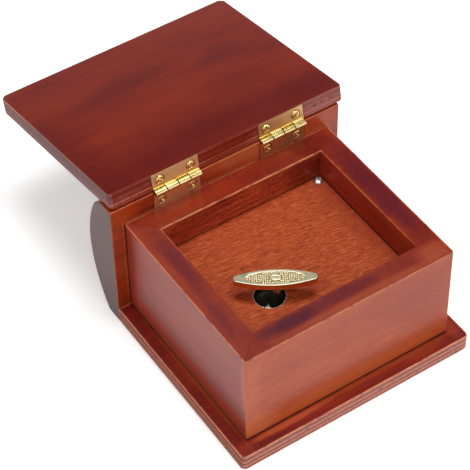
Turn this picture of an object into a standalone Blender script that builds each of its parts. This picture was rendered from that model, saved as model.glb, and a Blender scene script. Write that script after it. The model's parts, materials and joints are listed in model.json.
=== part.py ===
# A wooden music box in the form of a book: a base board, a rounded spine, a page block of four mitred
# walls, and a hinged lid board. An eighteen note movement hangs under a recessed panel and is wound by
# a key that stands out of it. Metres, +Z up, the spine at +Y, the hinge line along X.
# The origin is the centre of the base board's underside. The lid rests open on the spine.

import math

import bmesh
import bpy
from mathutils import Matrix, Vector

mm = 0.001

# Clearances
seam = 0.15 * mm            # between glued wooden faces
gap = 0.3 * mm              # between pieces that are screwed or seated on each other
running = 0.1 * mm          # radial, round a turning pin or shaft

# Covers and spine
cover_width = 110.0 * mm
base_depth = 92.3 * mm
base_thickness = 7.6 * mm
lid_width = 111.0 * mm
lid_thickness = 7.4 * mm
lid_offset = 1.3 * mm       # the lid and its hinges sit a little to the right
cover_corner = 1.6 * mm     # rounding of the covers' free corners, in plan
cover_arris = 0.7 * mm
spine_height = 64.4 * mm
spine_bulge = 19.2 * mm     # greatest depth of the spine behind its flat face
spine_back_radius = 57.0 * mm
spine_back_centre = 34.1 * mm   # height of the centre of the back curve
spine_shoulder = 9.7 * mm
spine_toe = 1.5 * mm
spine_arris = 0.5 * mm

# Page block
side_inset = 6.0 * mm
front_inset = 6.8 * mm
wall_thickness = 10.6 * mm
wall_arris = 0.45 * mm
wall_corner = 0.9 * mm
recess_depth = 13.3 * mm
panel_thickness = 3.6 * mm
key_hole_diameter = 13.2 * mm
key_hole_shift_x = -2.1 * mm    # the hole is not quite under the key
key_hole_shift_y = 0.3 * mm
block_room = 1.6 * mm       # between a corner block and the bedplate
block_height = 12.0 * mm
panel_screw_inset = 2.9 * mm

# Hinges
hinge_length = 21.8 * mm
hinge_half_spacing = 25.3 * mm
hinge_set = 1.5 * mm        # the lid's outer face lies this far below the pin when closed
leaf_thickness = 0.5 * mm
leaf_sunk = 0.3 * mm
pin_diameter = 1.1 * mm
knuckle_count = 4
knuckle_gap = 0.2 * mm
leaf_notch = 0.25 * mm      # room between a leaf and the other leaf's knuckles
hinge_screw_half_spacing = 7.2 * mm
hinge_screw_reach = 5.2 * mm    # from the pin to the screws

# Wood screws
screw_head_diameter = 3.4 * mm
screw_head_height = 0.9 * mm
raised_head_height = 0.35 * mm  # of a countersunk hinge screw, so that two can face each other
screw_shank_diameter = 1.6 * mm
hinge_screw_length = 6.0 * mm
panel_screw_length = 9.0 * mm
movement_screw_length = 5.4 * mm
comb_screw_length = 5.0 * mm
cross_width = 0.45 * mm
cross_length = 2.2 * mm
cross_depth = 0.55 * mm

# Key
key_from_left = 24.4 * mm   # from the walls' inner faces to the key's axis
key_from_front = 20.55 * mm
key_turn = math.radians(-31.7)
key_rise = 10.0 * mm        # top of the bow above the panel
bow_length = 33.0 * mm
bow_width = 8.6 * mm
bow_end_width = 2.6 * mm
bow_thickness = 2.9 * mm
bow_arris = 0.35 * mm
shank_diameter = 4.6 * mm
shank_reach = 5.5 * mm      # how far the shank goes below the panel's top
arbor_diameter = 2.4 * mm
bore_roof = 1.0 * mm        # solid metal between the bow and the arbor's bore

# Movement
bedplate_length = 57.0 * mm
bedplate_width = 44.0 * mm
bedplate_thickness = 2.6 * mm
bedplate_front = 19.5 * mm  # from its front edge to the winding arbor
bedplate_margin = 2.6 * mm  # between its right edge and the governor
bedplate_corner = 3.0 * mm
movement_screw_inset = 3.2 * mm
ratchet_diameter = 11.0 * mm
ratchet_teeth = 16
ratchet_tooth_depth = 0.7 * mm
ratchet_thickness = 0.8 * mm
click_width = 2.8 * mm
click_nose = 1.0 * mm
click_head = 2.2 * mm
click_head_height = 0.7 * mm
click_pivot_radius = 0.6 * mm
housing_diameter = 23.0 * mm
housing_height = 7.0 * mm
housing_wall = 1.0 * mm
crown_teeth = 40
crown_tooth_height = 1.0 * mm
crown_face = 1.6 * mm
spring_turns = 5
spring_strip = 0.4 * mm
pinion_teeth = 16
pinion_thickness = 1.2 * mm
tooth_depth = 1.0 * mm
cylinder_diameter = 13.0 * mm
shaft_diameter = 1.8 * mm
pin_height = 0.8 * mm
pin_side = 0.45 * mm
note_count = 18
end_of_notes = 0.3 * mm     # bare cylinder at each end of the comb
tune_steps = 40
bracket_thickness = 0.8 * mm
bracket_width = 6.0 * mm
bracket_standoff = 1.1 * mm     # between the spring housing and the left bracket
drive_gear_teeth = 24
drive_gear_module = 0.5 * mm
governor_pinion_teeth = 8
gear_thickness = 1.2 * mm
worm_wheel_teeth = 16
worm_wheel_module = 0.5 * mm
worm_wheel_thickness = 1.6 * mm
worm_wheel_standoff = 0.8 * mm
worm_diameter = 3.0 * mm
worm_starts = 2
worm_half_length = 3.4 * mm
worm_root_radius = 0.75 * mm
worm_ridge = 0.3 * mm
worm_shaft_radius = 0.5 * mm
governor_arbor_radius = 0.6 * mm
cheek_half_width = 2.4 * mm
cheek_below_arbor = 2.2 * mm
governor_flange = 0.8 * mm
governor_arm_half = 1.6 * mm
fan_hub_radius = 1.1 * mm
fan_length = 7.6 * mm
fan_height = 3.6 * mm
fan_thickness = 0.4 * mm
comb_thickness = 1.1 * mm
comb_depth = 16.0 * mm
comb_root = 5.6 * mm        # the solid strip that is screwed down
comb_longest_slot = 9.6 * mm
comb_shortest_slot = 5.5 * mm
comb_slit = 0.35 * mm

# Levels and faces that follow from the sizes above
front_y = -base_depth / 2
spine_y = base_depth / 2
half_width = cover_width / 2
knuckle_radius = pin_diameter / 2 + running + leaf_thickness
hinge_stand = knuckle_radius - leaf_sunk    # from the wooden faces to the pin's axis
hinge_y = spine_y - hinge_stand
hinge_z = spine_height
leaf_width = hinge_set + lid_thickness
lid_depth = base_depth - 2 * hinge_stand
rim_z = hinge_z - hinge_set - lid_thickness - gap
wall_z = base_thickness + seam
panel_z = rim_z - recess_depth
panel_under = panel_z - panel_thickness
wall_x = half_width - side_inset
wall_front = front_y + front_inset
wall_back = spine_y - seam
room_x = wall_x - wall_thickness
room_front = wall_front + wall_thickness
room_back = wall_back - wall_thickness
plate_top = panel_under - gap
plate_under = plate_top - bedplate_thickness
key_x = -room_x + key_from_left
key_y = room_front + key_from_front
plate_x = -bedplate_length / 2
plate_y = key_y - bedplate_front
block_side = room_x - gap - block_room - bedplate_length / 2
ratchet_z = plate_under - gap
housing_z = ratchet_z - ratchet_thickness - gap
crown_z = housing_z - housing_height
pitch_of_crown = 2 * math.pi * (housing_diameter / 2 - crown_face / 2) / crown_teeth
pinion_radius = pitch_of_crown * pinion_teeth / (2 * math.pi)
shaft_z = crown_z - crown_tooth_height / 2 - pinion_radius
pinion_x = key_x + housing_diameter / 2 - crown_face / 2
left_bracket_x = key_x + housing_diameter / 2 + bracket_standoff
cylinder_x = left_bracket_x + bracket_thickness + 2 * gap
far_cheek_x = plate_x + bedplate_length - bedplate_margin - bracket_thickness
worm_wheel_x = far_cheek_x - gap - worm_wheel_thickness
drive_gear_x = worm_wheel_x - worm_wheel_standoff - gear_thickness
cheek_x = drive_gear_x - gap - bracket_thickness
cylinder_end = cheek_x - 2 * gap
cylinder_length = cylinder_end - cylinder_x
note_pitch = (cylinder_length - 2 * end_of_notes) / note_count
drive_gear_radius = drive_gear_module * drive_gear_teeth / 2
governor_pinion_radius = drive_gear_module * governor_pinion_teeth / 2
governor_y = key_y - drive_gear_radius - governor_pinion_radius
worm_wheel_radius = worm_wheel_module * worm_wheel_teeth / 2
worm_x = worm_wheel_x + worm_wheel_thickness / 2
worm_y = governor_y - worm_wheel_radius - worm_diameter / 2


# Materials

def principled(name, colour, roughness, metallic=0.0):
    found = bpy.data.materials.get(name)
    if found:
        return found
    made = bpy.data.materials.new(name)
    made.use_nodes = True
    shader = made.node_tree.nodes["Principled BSDF"]
    shader.inputs["Base Color"].default_value = (*colour, 1.0)
    shader.inputs["Roughness"].default_value = roughness
    shader.inputs["Metallic"].default_value = metallic
    made.diffuse_color = (*colour, 1.0)
    return made


def mahogany():
    return principled("mahogany_stain", (0.19, 0.035, 0.02), 0.35)


def panel_veneer():
    return principled("panel_veneer", (0.38, 0.09, 0.035), 0.55)


def raw_wood():
    return principled("raw_wood", (0.55, 0.38, 0.22), 0.8)


def polished_brass():
    return principled("polished_brass", (0.83, 0.60, 0.24), 0.2, 1.0)


def pale_brass():
    return principled("pale_brass", (0.66, 0.60, 0.42), 0.3, 1.0)


def nickel():
    return principled("nickel", (0.72, 0.71, 0.69), 0.25, 1.0)


def cast_zinc():
    return principled("cast_zinc", (0.62, 0.52, 0.32), 0.45, 1.0)


def spring_steel():
    return principled("spring_steel", (0.45, 0.46, 0.48), 0.3, 1.0)


def black_plastic():
    return principled("black_plastic", (0.03, 0.03, 0.035), 0.5)


# Making and joining shapes

def keep(name, mesh, material, place=(0, 0, 0), turn=(0, 0, 0), sharp=35):
    """Adds the bmesh to the scene as a named object whose origin is at place."""
    bmesh.ops.recalc_face_normals(mesh, faces=mesh.faces)
    data = bpy.data.meshes.new(name)
    mesh.to_mesh(data)
    mesh.free()
    data.shade_smooth()
    data.set_sharp_from_angle(angle=math.radians(sharp))
    thing = bpy.data.objects.new(name, data)
    bpy.context.scene.collection.objects.link(thing)
    data.materials.append(material)
    thing.location = place
    thing.rotation_euler = turn
    return thing


def guide(name, mesh, place=(0, 0, 0), turn=(0, 0, 0)):
    """A cutter or an addition that a Boolean reads and that is not a piece itself."""
    thing = keep(name, mesh, raw_wood(), place, turn)
    thing.hide_render = True
    thing.display_type = "WIRE"
    return thing


def boolean(thing, other, operation):
    step = thing.modifiers.new(operation.lower() + "_" + other.name, "BOOLEAN")
    step.operation = operation
    step.solver = "EXACT"
    step.object = other


def cut(thing, other):
    boolean(thing, other, "DIFFERENCE")


def join(thing, other):
    boolean(thing, other, "UNION")


def add_prism(mesh, outline, low, high, axis="Z"):
    """Extrudes a closed outline between two levels of an axis and returns the new faces."""
    def point(p, level):
        if axis == "X":
            return (level, p[0], p[1])
        if axis == "Y":
            return (p[0], level, p[1])
        return (p[0], p[1], level)
    under = [mesh.verts.new(point(p, low)) for p in outline]
    over = [mesh.verts.new(point(p, high)) for p in outline]
    made = [mesh.faces.new(under[::-1]), mesh.faces.new(over)]
    count = len(outline)
    for i in range(count):
        j = (i + 1) % count
        made.append(mesh.faces.new((under[i], under[j], over[j], over[i])))
    return made


def prism(outline, low, high, axis="Z"):
    mesh = bmesh.new()
    add_prism(mesh, outline, low, high, axis)
    return mesh


def rectangle(x0, x1, y0, y1):
    return [(x0, y0), (x1, y0), (x1, y1), (x0, y1)]


def add_block(mesh, x0, x1, y0, y1, z0, z1):
    add_prism(mesh, rectangle(x0, x1, y0, y1), z0, z1)


def block(x0, x1, y0, y1, z0, z1):
    return prism(rectangle(x0, x1, y0, y1), z0, z1)


def arc(centre_x, centre_y, radius, start, end, steps):
    """Points of a round stretch; the angles are in degrees."""
    points = []
    for i in range(steps + 1):
        angle = math.radians(start + (end - start) * i / steps)
        points.append((centre_x + radius * math.cos(angle), centre_y + radius * math.sin(angle)))
    return points


def circle(centre_x, centre_y, radius, sides):
    return arc(centre_x, centre_y, radius, 0, 360 * (sides - 1) / sides, sides - 1)


def ring_prism(outer, inner, low, high, axis="Z"):
    """A plate between two outlines that have as many points as each other."""
    mesh = bmesh.new()
    def point(p, level):
        if axis == "X":
            return (level, p[0], p[1])
        if axis == "Y":
            return (p[0], level, p[1])
        return (p[0], p[1], level)
    loops = [[mesh.verts.new(point(p, level)) for p in line]
             for line, level in ((outer, low), (outer, high), (inner, high), (inner, low))]
    count = len(outer)
    for i in range(count):
        j = (i + 1) % count
        for k in range(4):
            near, far = loops[k], loops[(k + 1) % 4]
            mesh.faces.new((near[i], near[j], far[j], far[i]))
    return mesh


def turned(profile, sides, axis="Z"):
    """Turns a profile of (radius, level) points; a radius of nought closes an end."""
    mesh = bmesh.new()
    rings = []
    for radius, level in profile:
        if radius == 0:
            rings.append([mesh.verts.new(axis_point(0, 0, level, axis))])
            continue
        ring = []
        for i in range(sides):
            angle = 2 * math.pi * i / sides
            ring.append(mesh.verts.new(
                axis_point(radius * math.cos(angle), radius * math.sin(angle), level, axis)))
        rings.append(ring)
    for near, far in zip(rings, rings[1:] + rings[:1]):
        if len(near) == 1 and len(far) == 1:
            continue
        for i in range(sides):
            j = (i + 1) % sides
            if len(near) == 1:
                mesh.faces.new((near[0], far[j], far[i]))
            elif len(far) == 1:
                mesh.faces.new((near[i], near[j], far[0]))
            else:
                mesh.faces.new((near[i], near[j], far[j], far[i]))
    return mesh


def axis_point(a, b, level, axis):
    if axis == "X":
        return (level, a, b)
    if axis == "Y":
        return (a, level, b)
    return (a, b, level)


def rod(radius, low, high, sides=12, axis="Z"):
    return turned([(0, low), (radius, low), (radius, high), (0, high)], sides, axis)


def add_rod(mesh, x, y, radius, low, high, sides=12, axis="Z"):
    add_prism(mesh, circle(x, y, radius, sides), low, high, axis)


def round_edges(mesh, wanted, width, segments=2):
    edges = [edge for edge in mesh.edges if wanted(edge.verts[0].co, edge.verts[1].co)]
    bmesh.ops.bevel(mesh, geom=edges, offset=width, segments=segments, profile=0.5,
                    affect="EDGES", clamp_overlap=True)


def rounded_rectangle(x0, x1, y0, y1, radius, corners="abcd", steps=4):
    """Corners a, b, c and d are front left, front right, back right and back left."""
    points = []
    places = (("a", x0, y0, 180), ("b", x1, y0, 270), ("c", x1, y1, 0), ("d", x0, y1, 90))
    for letter, x, y, start in places:
        if letter not in corners:
            points.append((x, y))
            continue
        centre_x = x0 + radius if x == x0 else x1 - radius
        centre_y = y0 + radius if y == y0 else y1 - radius
        points += arc(centre_x, centre_y, radius, start, start + 90, steps)
    return points


# Wooden pieces

def level_edge(level):
    def wanted(a, b):
        return abs(a.z - level) < 1e-6 and abs(b.z - level) < 1e-6
    return wanted


def make_base_board():
    outline = rounded_rectangle(-half_width, half_width, front_y, spine_y - seam, cover_corner, "ab")
    mesh = prism(outline, 0, base_thickness)

    def free_arris(a, b):
        at_back = abs(a.y - b.y) < 1e-6 and a.y > 0
        return abs(a.z - b.z) < 1e-6 and not at_back
    round_edges(mesh, free_arris, cover_arris)
    return keep("base_board", mesh, mahogany())


def spine_outline():
    """The spine's section as (y, z): flat face, top, shoulder, back curve, toe and bottom."""
    middle_y = spine_y + spine_bulge - spine_back_radius
    middle_z = spine_back_centre
    shoulder_z = spine_height - spine_shoulder
    shoulder_y = middle_y + math.sqrt((spine_back_radius - spine_shoulder) ** 2
                                      - (shoulder_z - middle_z) ** 2)
    toe_y = middle_y + math.sqrt((spine_back_radius - spine_toe) ** 2 - (spine_toe - middle_z) ** 2)
    shoulder_angle = math.degrees(math.atan2(shoulder_z - middle_z, shoulder_y - middle_y))
    toe_angle = math.degrees(math.atan2(spine_toe - middle_z, toe_y - middle_y))
    points = arc(spine_y + spine_arris, spine_arris, spine_arris, 180, 270, 2)
    points += arc(toe_y, spine_toe, spine_toe, 270, 360 + toe_angle, 3)
    points += arc(middle_y, middle_z, spine_back_radius, toe_angle, shoulder_angle, 16)[1:]
    points += arc(shoulder_y, shoulder_z, spine_shoulder, shoulder_angle, 90, 6)[1:]
    points += arc(spine_y + spine_arris, spine_height - spine_arris, spine_arris, 90, 180, 2)
    return points


def open_tilt():
    """How far past the flat the lid opens before it rests, a gap away, on the spine's shoulder."""
    reach = hinge_set - gap
    tilt = math.pi
    for y, z in spine_outline():
        distance = math.hypot(y - hinge_y, z - hinge_z)
        if y > hinge_y + reach and distance > reach:
            tilt = min(tilt, math.asin(reach / distance) - math.atan2(z - hinge_z, y - hinge_y))
    return tilt


def hinge_centres():
    return {"left": lid_offset - hinge_half_spacing, "right": lid_offset + hinge_half_spacing}


def hinge_screw_places(centre):
    return (centre - hinge_screw_half_spacing, centre + hinge_screw_half_spacing)


def make_spine_block():
    thing = keep("spine_block", prism(spine_outline(), -half_width, half_width, "X"), mahogany())
    pockets = bmesh.new()
    pilots = bmesh.new()
    barrels = bmesh.new()
    for centre in hinge_centres().values():
        left = centre - hinge_length / 2 - seam
        right = centre + hinge_length / 2 + seam
        add_block(pockets, left, right, spine_y - gap, spine_y + leaf_sunk + seam,
                  hinge_z - leaf_width - seam, spine_height + gap)
        add_rod(barrels, hinge_y, hinge_z, knuckle_radius + seam, left, right, 16, "X")
        for x in hinge_screw_places(centre):
            add_rod(pilots, x, hinge_z - hinge_screw_reach, screw_shank_diameter / 2 + seam,
                    spine_y - gap, spine_y + hinge_screw_length + gap, 10, "Y")
    cut(thing, guide("spine_pockets", pockets))
    cut(thing, guide("spine_barrel_rooms", barrels))
    cut(thing, guide("spine_pilot_holes", pilots))
    return thing


def make_walls():
    """Four mitred walls; each mitre face stands back by half a seam."""
    back_off = seam / math.sqrt(2)
    tip = wall_corner * (1 - 1 / math.sqrt(2))

    def half_corner(x_side, y_side, along_x):
        centre_x = x_side * (wall_x - wall_corner)
        centre_y = (wall_front + wall_corner) if y_side < 0 else (wall_back - wall_corner)
        flat = math.degrees(math.atan2(y_side, 0)) if along_x else math.degrees(math.atan2(0, x_side))
        diagonal = math.degrees(math.atan2(y_side, x_side))
        if abs(diagonal - flat) > 180:
            flat += 360 if flat < diagonal else -360
        return arc(centre_x, centre_y, wall_corner, flat, diagonal, 2)

    outlines = {}
    front_left = half_corner(-1, -1, True)
    front_right = half_corner(1, -1, True)
    shift = back_off
    outlines["front_wall"] = (
        [(x + shift, y) for x, y in front_left[::-1]]
        + [(x - shift, y) for x, y in front_right]
        + [(room_x - shift, room_front), (-room_x + shift, room_front)])
    back_left = half_corner(-1, 1, True)
    back_right = half_corner(1, 1, True)
    outlines["back_wall"] = (
        [(x - shift, y) for x, y in back_right[::-1]]
        + [(x + shift, y) for x, y in back_left]
        + [(-room_x + shift, room_back), (room_x - shift, room_back)])
    for name, side in (("left_wall", -1), ("right_wall", 1)):
        near = half_corner(side, -1, False)
        far = half_corner(side, 1, False)
        outlines[name] = (
            [(x, y + shift) for x, y in near[::-1]]
            + [(x, y - shift) for x, y in far]
            + [(side * room_x, room_back - shift), (side * room_x, room_front + shift)])

    def on_mitre(a, b):
        return abs(abs(a.x - b.x) - abs(a.y - b.y)) < 1e-6 and abs(a.x - b.x) > 2 * tip
    for name, outline in outlines.items():
        mesh = prism(outline, wall_z, rim_z)

        def top_arris(a, b):
            return level_edge(rim_z)(a, b) and not on_mitre(a, b)
        round_edges(mesh, top_arris, wall_arris)
        keep(name, mesh, mahogany())


def corner_places(inset):
    """The four corners of the room inside the walls, drawn in by an inset."""
    x = room_x - gap - inset
    near = room_front + gap + inset
    far = room_back - gap - inset
    return {"front_left": (-x, near), "front_right": (x, near), "back_left": (-x, far), "back_right": (x, far)}


def make_panel():
    mesh = block(-room_x + gap, room_x - gap, room_front + gap, room_back - gap, panel_under, panel_z)
    panel = keep("inner_panel", mesh, panel_veneer())
    holes = bmesh.new()
    add_rod(holes, key_x + key_hole_shift_x, key_y + key_hole_shift_y, key_hole_diameter / 2, panel_under - gap, panel_z + gap, 40)
    for x, y in corner_places(panel_screw_inset).values():
        add_rod(holes, x, y, screw_shank_diameter / 2 + gap, panel_under - gap, panel_z + gap, 10)
    for x, y in movement_screw_places():
        add_rod(holes, x, y, screw_shank_diameter / 2 + seam,
                panel_under - gap, panel_under + movement_screw_bite() + seam, 10)
    cut(panel, guide("panel_holes", holes))
    for name, (x, y) in corner_places(block_side / 2).items():
        mesh = block(x - block_side / 2, x + block_side / 2, y - block_side / 2, y + block_side / 2,
                     panel_under - gap - block_height, panel_under - gap)
        post = keep("corner_block_" + name, mesh, raw_wood())
        hole = bmesh.new()
        screw_x, screw_y = corner_places(panel_screw_inset)[name]
        tip_z = panel_z + gap - panel_screw_length
        add_rod(hole, screw_x, screw_y, screw_shank_diameter / 2 + seam, tip_z - gap, panel_under, 10)
        cut(post, guide("pilot_hole_" + name, hole))


def make_lid_board():
    """The lid in its hinge's frame: Y away from the spine's face, the outer face down."""
    left = lid_offset - lid_width / 2
    right = lid_offset + lid_width / 2
    near = hinge_stand
    outline = rounded_rectangle(left, right, near, near + lid_depth, cover_corner)
    mesh = prism(outline, hinge_set, hinge_set + lid_thickness)

    def free_arris(a, b):
        return abs(a.z - b.z) < 1e-6
    round_edges(mesh, free_arris, cover_arris)
    lid = keep("lid_board", mesh, mahogany(), (0, hinge_y, hinge_z), (-open_tilt(), 0, 0))
    pockets = bmesh.new()
    pilots = bmesh.new()
    for centre in hinge_centres().values():
        add_block(pockets, centre - hinge_length / 2 - seam, centre + hinge_length / 2 + seam,
                  near - gap, near + leaf_sunk + seam,
                  hinge_set - gap, hinge_set + lid_thickness + gap)
        for x in hinge_screw_places(centre):
            add_rod(pilots, x, hinge_screw_reach, screw_shank_diameter / 2 + seam,
                    near - gap, near + hinge_screw_length + gap, 10, "Y")
    place = (0, hinge_y, hinge_z)
    cut(lid, guide("lid_pockets", pockets, place, (-open_tilt(), 0, 0)))
    cut(lid, guide("lid_pilot_holes", pilots, place, (-open_tilt(), 0, 0)))
    return lid


# Hinges

def knuckle_outline(side):
    """Section (y, z) of a rolled knuckle and its neck; side is 1 for a leaf that goes up, -1 down."""
    hollow = pin_diameter / 2 + running
    neck = knuckle_radius + 2 * leaf_notch
    last = 292
    outer = arc(0, 0, knuckle_radius, 0, -last, 14)
    inner = arc(0, 0, hollow, -last, 0, 14)
    points = [(knuckle_radius, neck)] + outer + inner + [(hollow, neck)]
    return [(y, z * side) for y, z in points]


def screw_seat(x, reach, side):
    """A countersink through the leaf, as the cutter of one screw."""
    face = knuckle_radius - leaf_thickness
    mesh = turned([(0, face - gap), (screw_head_diameter / 2 + seam, face - gap),
                   (screw_head_diameter / 2 + seam, face),
                   (screw_shank_diameter / 2 + seam, face + leaf_thickness),
                   (screw_shank_diameter / 2 + seam, face + leaf_thickness + gap),
                   (0, face + leaf_thickness + gap)], 14, "Y")
    bmesh.ops.translate(mesh, verts=mesh.verts, vec=(x, 0, reach * side))
    return mesh


def make_leaf(name, centre, side, first_knuckle, turn):
    """A leaf with every second knuckle. Its frame has the pin along X and the wood at +Y."""
    place = (0, hinge_y, hinge_z)
    inner_edge = knuckle_radius + leaf_notch
    low, high = sorted((side * inner_edge, side * leaf_width))
    mesh = block(centre - hinge_length / 2, centre + hinge_length / 2,
                 knuckle_radius - leaf_thickness, knuckle_radius, low, high)
    leaf = keep(name, mesh, polished_brass(), place, turn)
    step = hinge_length / knuckle_count
    rolls = bmesh.new()
    for i in range(first_knuckle, knuckle_count, 2):
        start = centre - hinge_length / 2 + i * step
        add_prism(rolls, knuckle_outline(side), start + knuckle_gap / 2, start + step - knuckle_gap / 2, "X")
    join(leaf, guide(name + "_knuckles", rolls, place, turn))
    seats = bmesh.new()
    for x in hinge_screw_places(centre):
        seat = screw_seat(x, hinge_screw_reach, side)
        seat.to_mesh(scratch := bpy.data.meshes.new("seat"))
        seat.free()
        seats.from_mesh(scratch)
        bpy.data.meshes.remove(scratch)
    cut(leaf, guide(name + "_seats", seats, place, turn))
    return leaf


def screw_mesh(length, raised):
    """A screw along +Z, its tip below. A raised head is countersunk; a pan head sits on nought."""
    head = screw_head_diameter / 2
    shank = screw_shank_diameter / 2
    height = raised_head_height if raised else screw_head_height
    profile = [(0, -length), (shank * 0.35, -length + shank * 0.6), (shank, -length + shank * 2.4)]
    if raised:
        profile += [(shank, -leaf_thickness), (head, 0), (head * 0.7, height * 0.65)]
    else:
        profile += [(shank, 0), (head, 0), (head, height * 0.4), (head * 0.8, height * 0.8)]
    profile += [(head * 0.34, height * 0.95), (0, height)]
    return turned(profile, 12)


def make_screw(name, place, turn, length, material, raised=False, crossed=True):
    screw = keep(name, screw_mesh(length, raised), material, place, turn)
    if crossed:
        slots = bmesh.new()
        top = raised_head_height if raised else screw_head_height
        low, high = top - cross_depth, top + gap
        half, wide = cross_length / 2, cross_width / 2
        plus = [(-half, -wide), (-wide, -wide), (-wide, -half), (wide, -half), (wide, -wide), (half, -wide),
                (half, wide), (wide, wide), (wide, half), (-wide, half), (-wide, wide), (-half, wide)]
        add_prism(slots, plus, low, high)
        cut(screw, guide(name + "_cross", slots, place, turn))
    return screw


def make_hinges():
    tilt = open_tilt()
    for side_name, centre in hinge_centres().items():
        make_leaf("hinge_leaf_spine_" + side_name, centre, -1, 0, (0, 0, 0))
        make_leaf("hinge_leaf_lid_" + side_name, centre, 1, 1, (-tilt, 0, 0))
        pin = rod(pin_diameter / 2, centre - hinge_length / 2, centre + hinge_length / 2, 14, "X")
        keep("hinge_pin_" + side_name, pin, polished_brass(), (0, hinge_y, hinge_z))
        rim = knuckle_radius - leaf_thickness - seam
        for end, x in zip(("a", "b"), hinge_screw_places(centre)):
            place = (x, hinge_y + rim, hinge_z - hinge_screw_reach)
            make_screw("hinge_screw_spine_%s_%s" % (side_name, end), place, (math.radians(90), 0, 0),
                       hinge_screw_length, polished_brass(), True)
            reach = Matrix.Rotation(-tilt, 3, "X") @ Vector((x, rim, hinge_screw_reach))
            place = (reach.x, hinge_y + reach.y, hinge_z + reach.z)
            make_screw("hinge_screw_lid_%s_%s" % (side_name, end), place, (math.radians(90) - tilt, 0, 0),
                       hinge_screw_length, polished_brass(), True)


def make_panel_screws():
    for name, (x, y) in corner_places(panel_screw_inset).items():
        make_screw("panel_screw_" + name, (x, y, panel_z + gap), (0, 0, 0),
                   panel_screw_length, nickel())


# Key

def bow_outline():
    """A long oval with blunt rounded ends."""
    half_length = bow_length / 2
    half_width_ = bow_width / 2
    half_end = bow_end_width / 2
    run = half_length - half_end
    rise = half_width_ - half_end
    radius = (run * run + rise * rise) / (2 * rise)
    spread = math.degrees(math.asin(run / radius))
    top = arc(0, half_width_ - radius, radius, 90 - spread, 90 + spread, 14)
    left = arc(-run, 0, half_end, 90 + spread, 270 - spread, 5)[1:-1]
    bottom = arc(0, radius - half_width_, radius, 270 - spread, 270 + spread, 14)
    right = arc(run, 0, half_end, 270 + spread, 450 - spread, 5)[1:-1]
    return top + left + bottom + right


def make_key():
    """The key turns about the arbor's axis, which runs through its own origin."""
    top = panel_z + key_rise
    low = top - bow_thickness
    foot = panel_z - shank_reach
    mesh = prism(bow_outline(), low, top)
    round_edges(mesh, lambda a, b: abs(a.z - b.z) < 1e-6, bow_arris)
    place = (key_x, key_y, 0)
    key = keep("winding_key", mesh, pale_brass(), place, (0, 0, key_turn))
    neck = rod(shank_diameter / 2, foot, low + bow_thickness / 2, 20)
    join(key, guide("key_shank", neck, place, (0, 0, key_turn)))
    bore_top = low - bore_roof
    bore = rod(arbor_diameter / 2 + gap, foot - gap, bore_top, 16)
    cut(key, guide("key_bore", bore, place, (0, 0, key_turn)))

    # The arbor: inside the key, through the bedplate, ratchet and housing
    arbor_top = bore_top - gap
    arbor_foot = crown_z + housing_wall + gap
    arbor = rod(arbor_diameter / 2, arbor_foot, arbor_top, 16)
    arbor = keep("winding_arbor", arbor, spring_steel(), place)
    saw = []
    for i in range(ratchet_teeth):
        start = 2 * math.pi * i / ratchet_teeth
        end = 2 * math.pi * (i + 0.9) / ratchet_teeth
        root = ratchet_diameter / 2 - ratchet_tooth_depth
        saw.append((root * math.cos(start), root * math.sin(start)))
        saw.append((ratchet_diameter / 2 * math.cos(end), ratchet_diameter / 2 * math.sin(end)))
    wheel = prism(saw, ratchet_z - ratchet_thickness, ratchet_z)
    join(arbor, guide("ratchet_wheel", wheel, place))


# Movement

def movement_screw_places():
    x0 = plate_x + movement_screw_inset
    x1 = plate_x + bedplate_length - movement_screw_inset
    y0 = plate_y + movement_screw_inset
    y1 = plate_y + bedplate_width - movement_screw_inset
    return ((x0, y0), (x0, y1), (x1, y1))


def movement_screw_bite():
    """How deep a movement screw goes into the panel, from below the bedplate."""
    return min(movement_screw_length - bedplate_thickness - gap, panel_thickness - 3 * gap)


def make_bedplate():
    x1 = plate_x + bedplate_length
    y1 = plate_y + bedplate_width
    outline = rounded_rectangle(plate_x, x1, plate_y, y1, bedplate_corner)
    plate = keep("bedplate", prism(outline, plate_under, plate_top), cast_zinc())
    anvil_x0, anvil_x1, anvil_y0, anvil_y1 = comb_seat()
    anvil = block(anvil_x0, anvil_x1, anvil_y0, anvil_y1, comb_top() + gap, plate_under + seam)
    join(plate, guide("comb_anvil", anvil))
    holes = bmesh.new()
    low, high = plate_under - gap, plate_top + gap
    add_rod(holes, key_x, key_y, shank_diameter / 2 + gap, low, high, 20)
    for x, y in movement_screw_places():
        add_rod(holes, x, y, screw_shank_diameter / 2 + gap, low, high, 10)
    cut(plate, guide("bedplate_holes", holes))
    taps = bmesh.new()
    for x, y in comb_screw_places():
        add_rod(taps, x, y, screw_shank_diameter / 2 + seam, comb_top() - gap, plate_under + gap, 10)
    cut(plate, guide("comb_screw_holes", taps))
    for i, (x, y) in enumerate(movement_screw_places()):
        reach = bedplate_thickness + movement_screw_bite() + gap
        make_screw("movement_screw_%d" % (i + 1), (x, y, plate_under - gap), (math.pi, 0, 0),
                   reach, nickel(), False, False)


def comb_top():
    return shaft_z + comb_thickness / 2


def comb_tip_y():
    return key_y + cylinder_diameter / 2 + pin_height + seam


def comb_x():
    return cylinder_x + end_of_notes


def comb_seat():
    """The raised seat under the comb's solid strip: x from, x to, y from, y to."""
    back = comb_tip_y() + comb_depth
    return (comb_x(), comb_x() + note_count * note_pitch, back - comb_root + gap, back)


def comb_screw_places():
    x0, x1, y0, y1 = comb_seat()
    third = (x1 - x0) / 4
    return ((x0 + third, (y0 + y1) / 2), (x1 - third, (y0 + y1) / 2))


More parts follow.
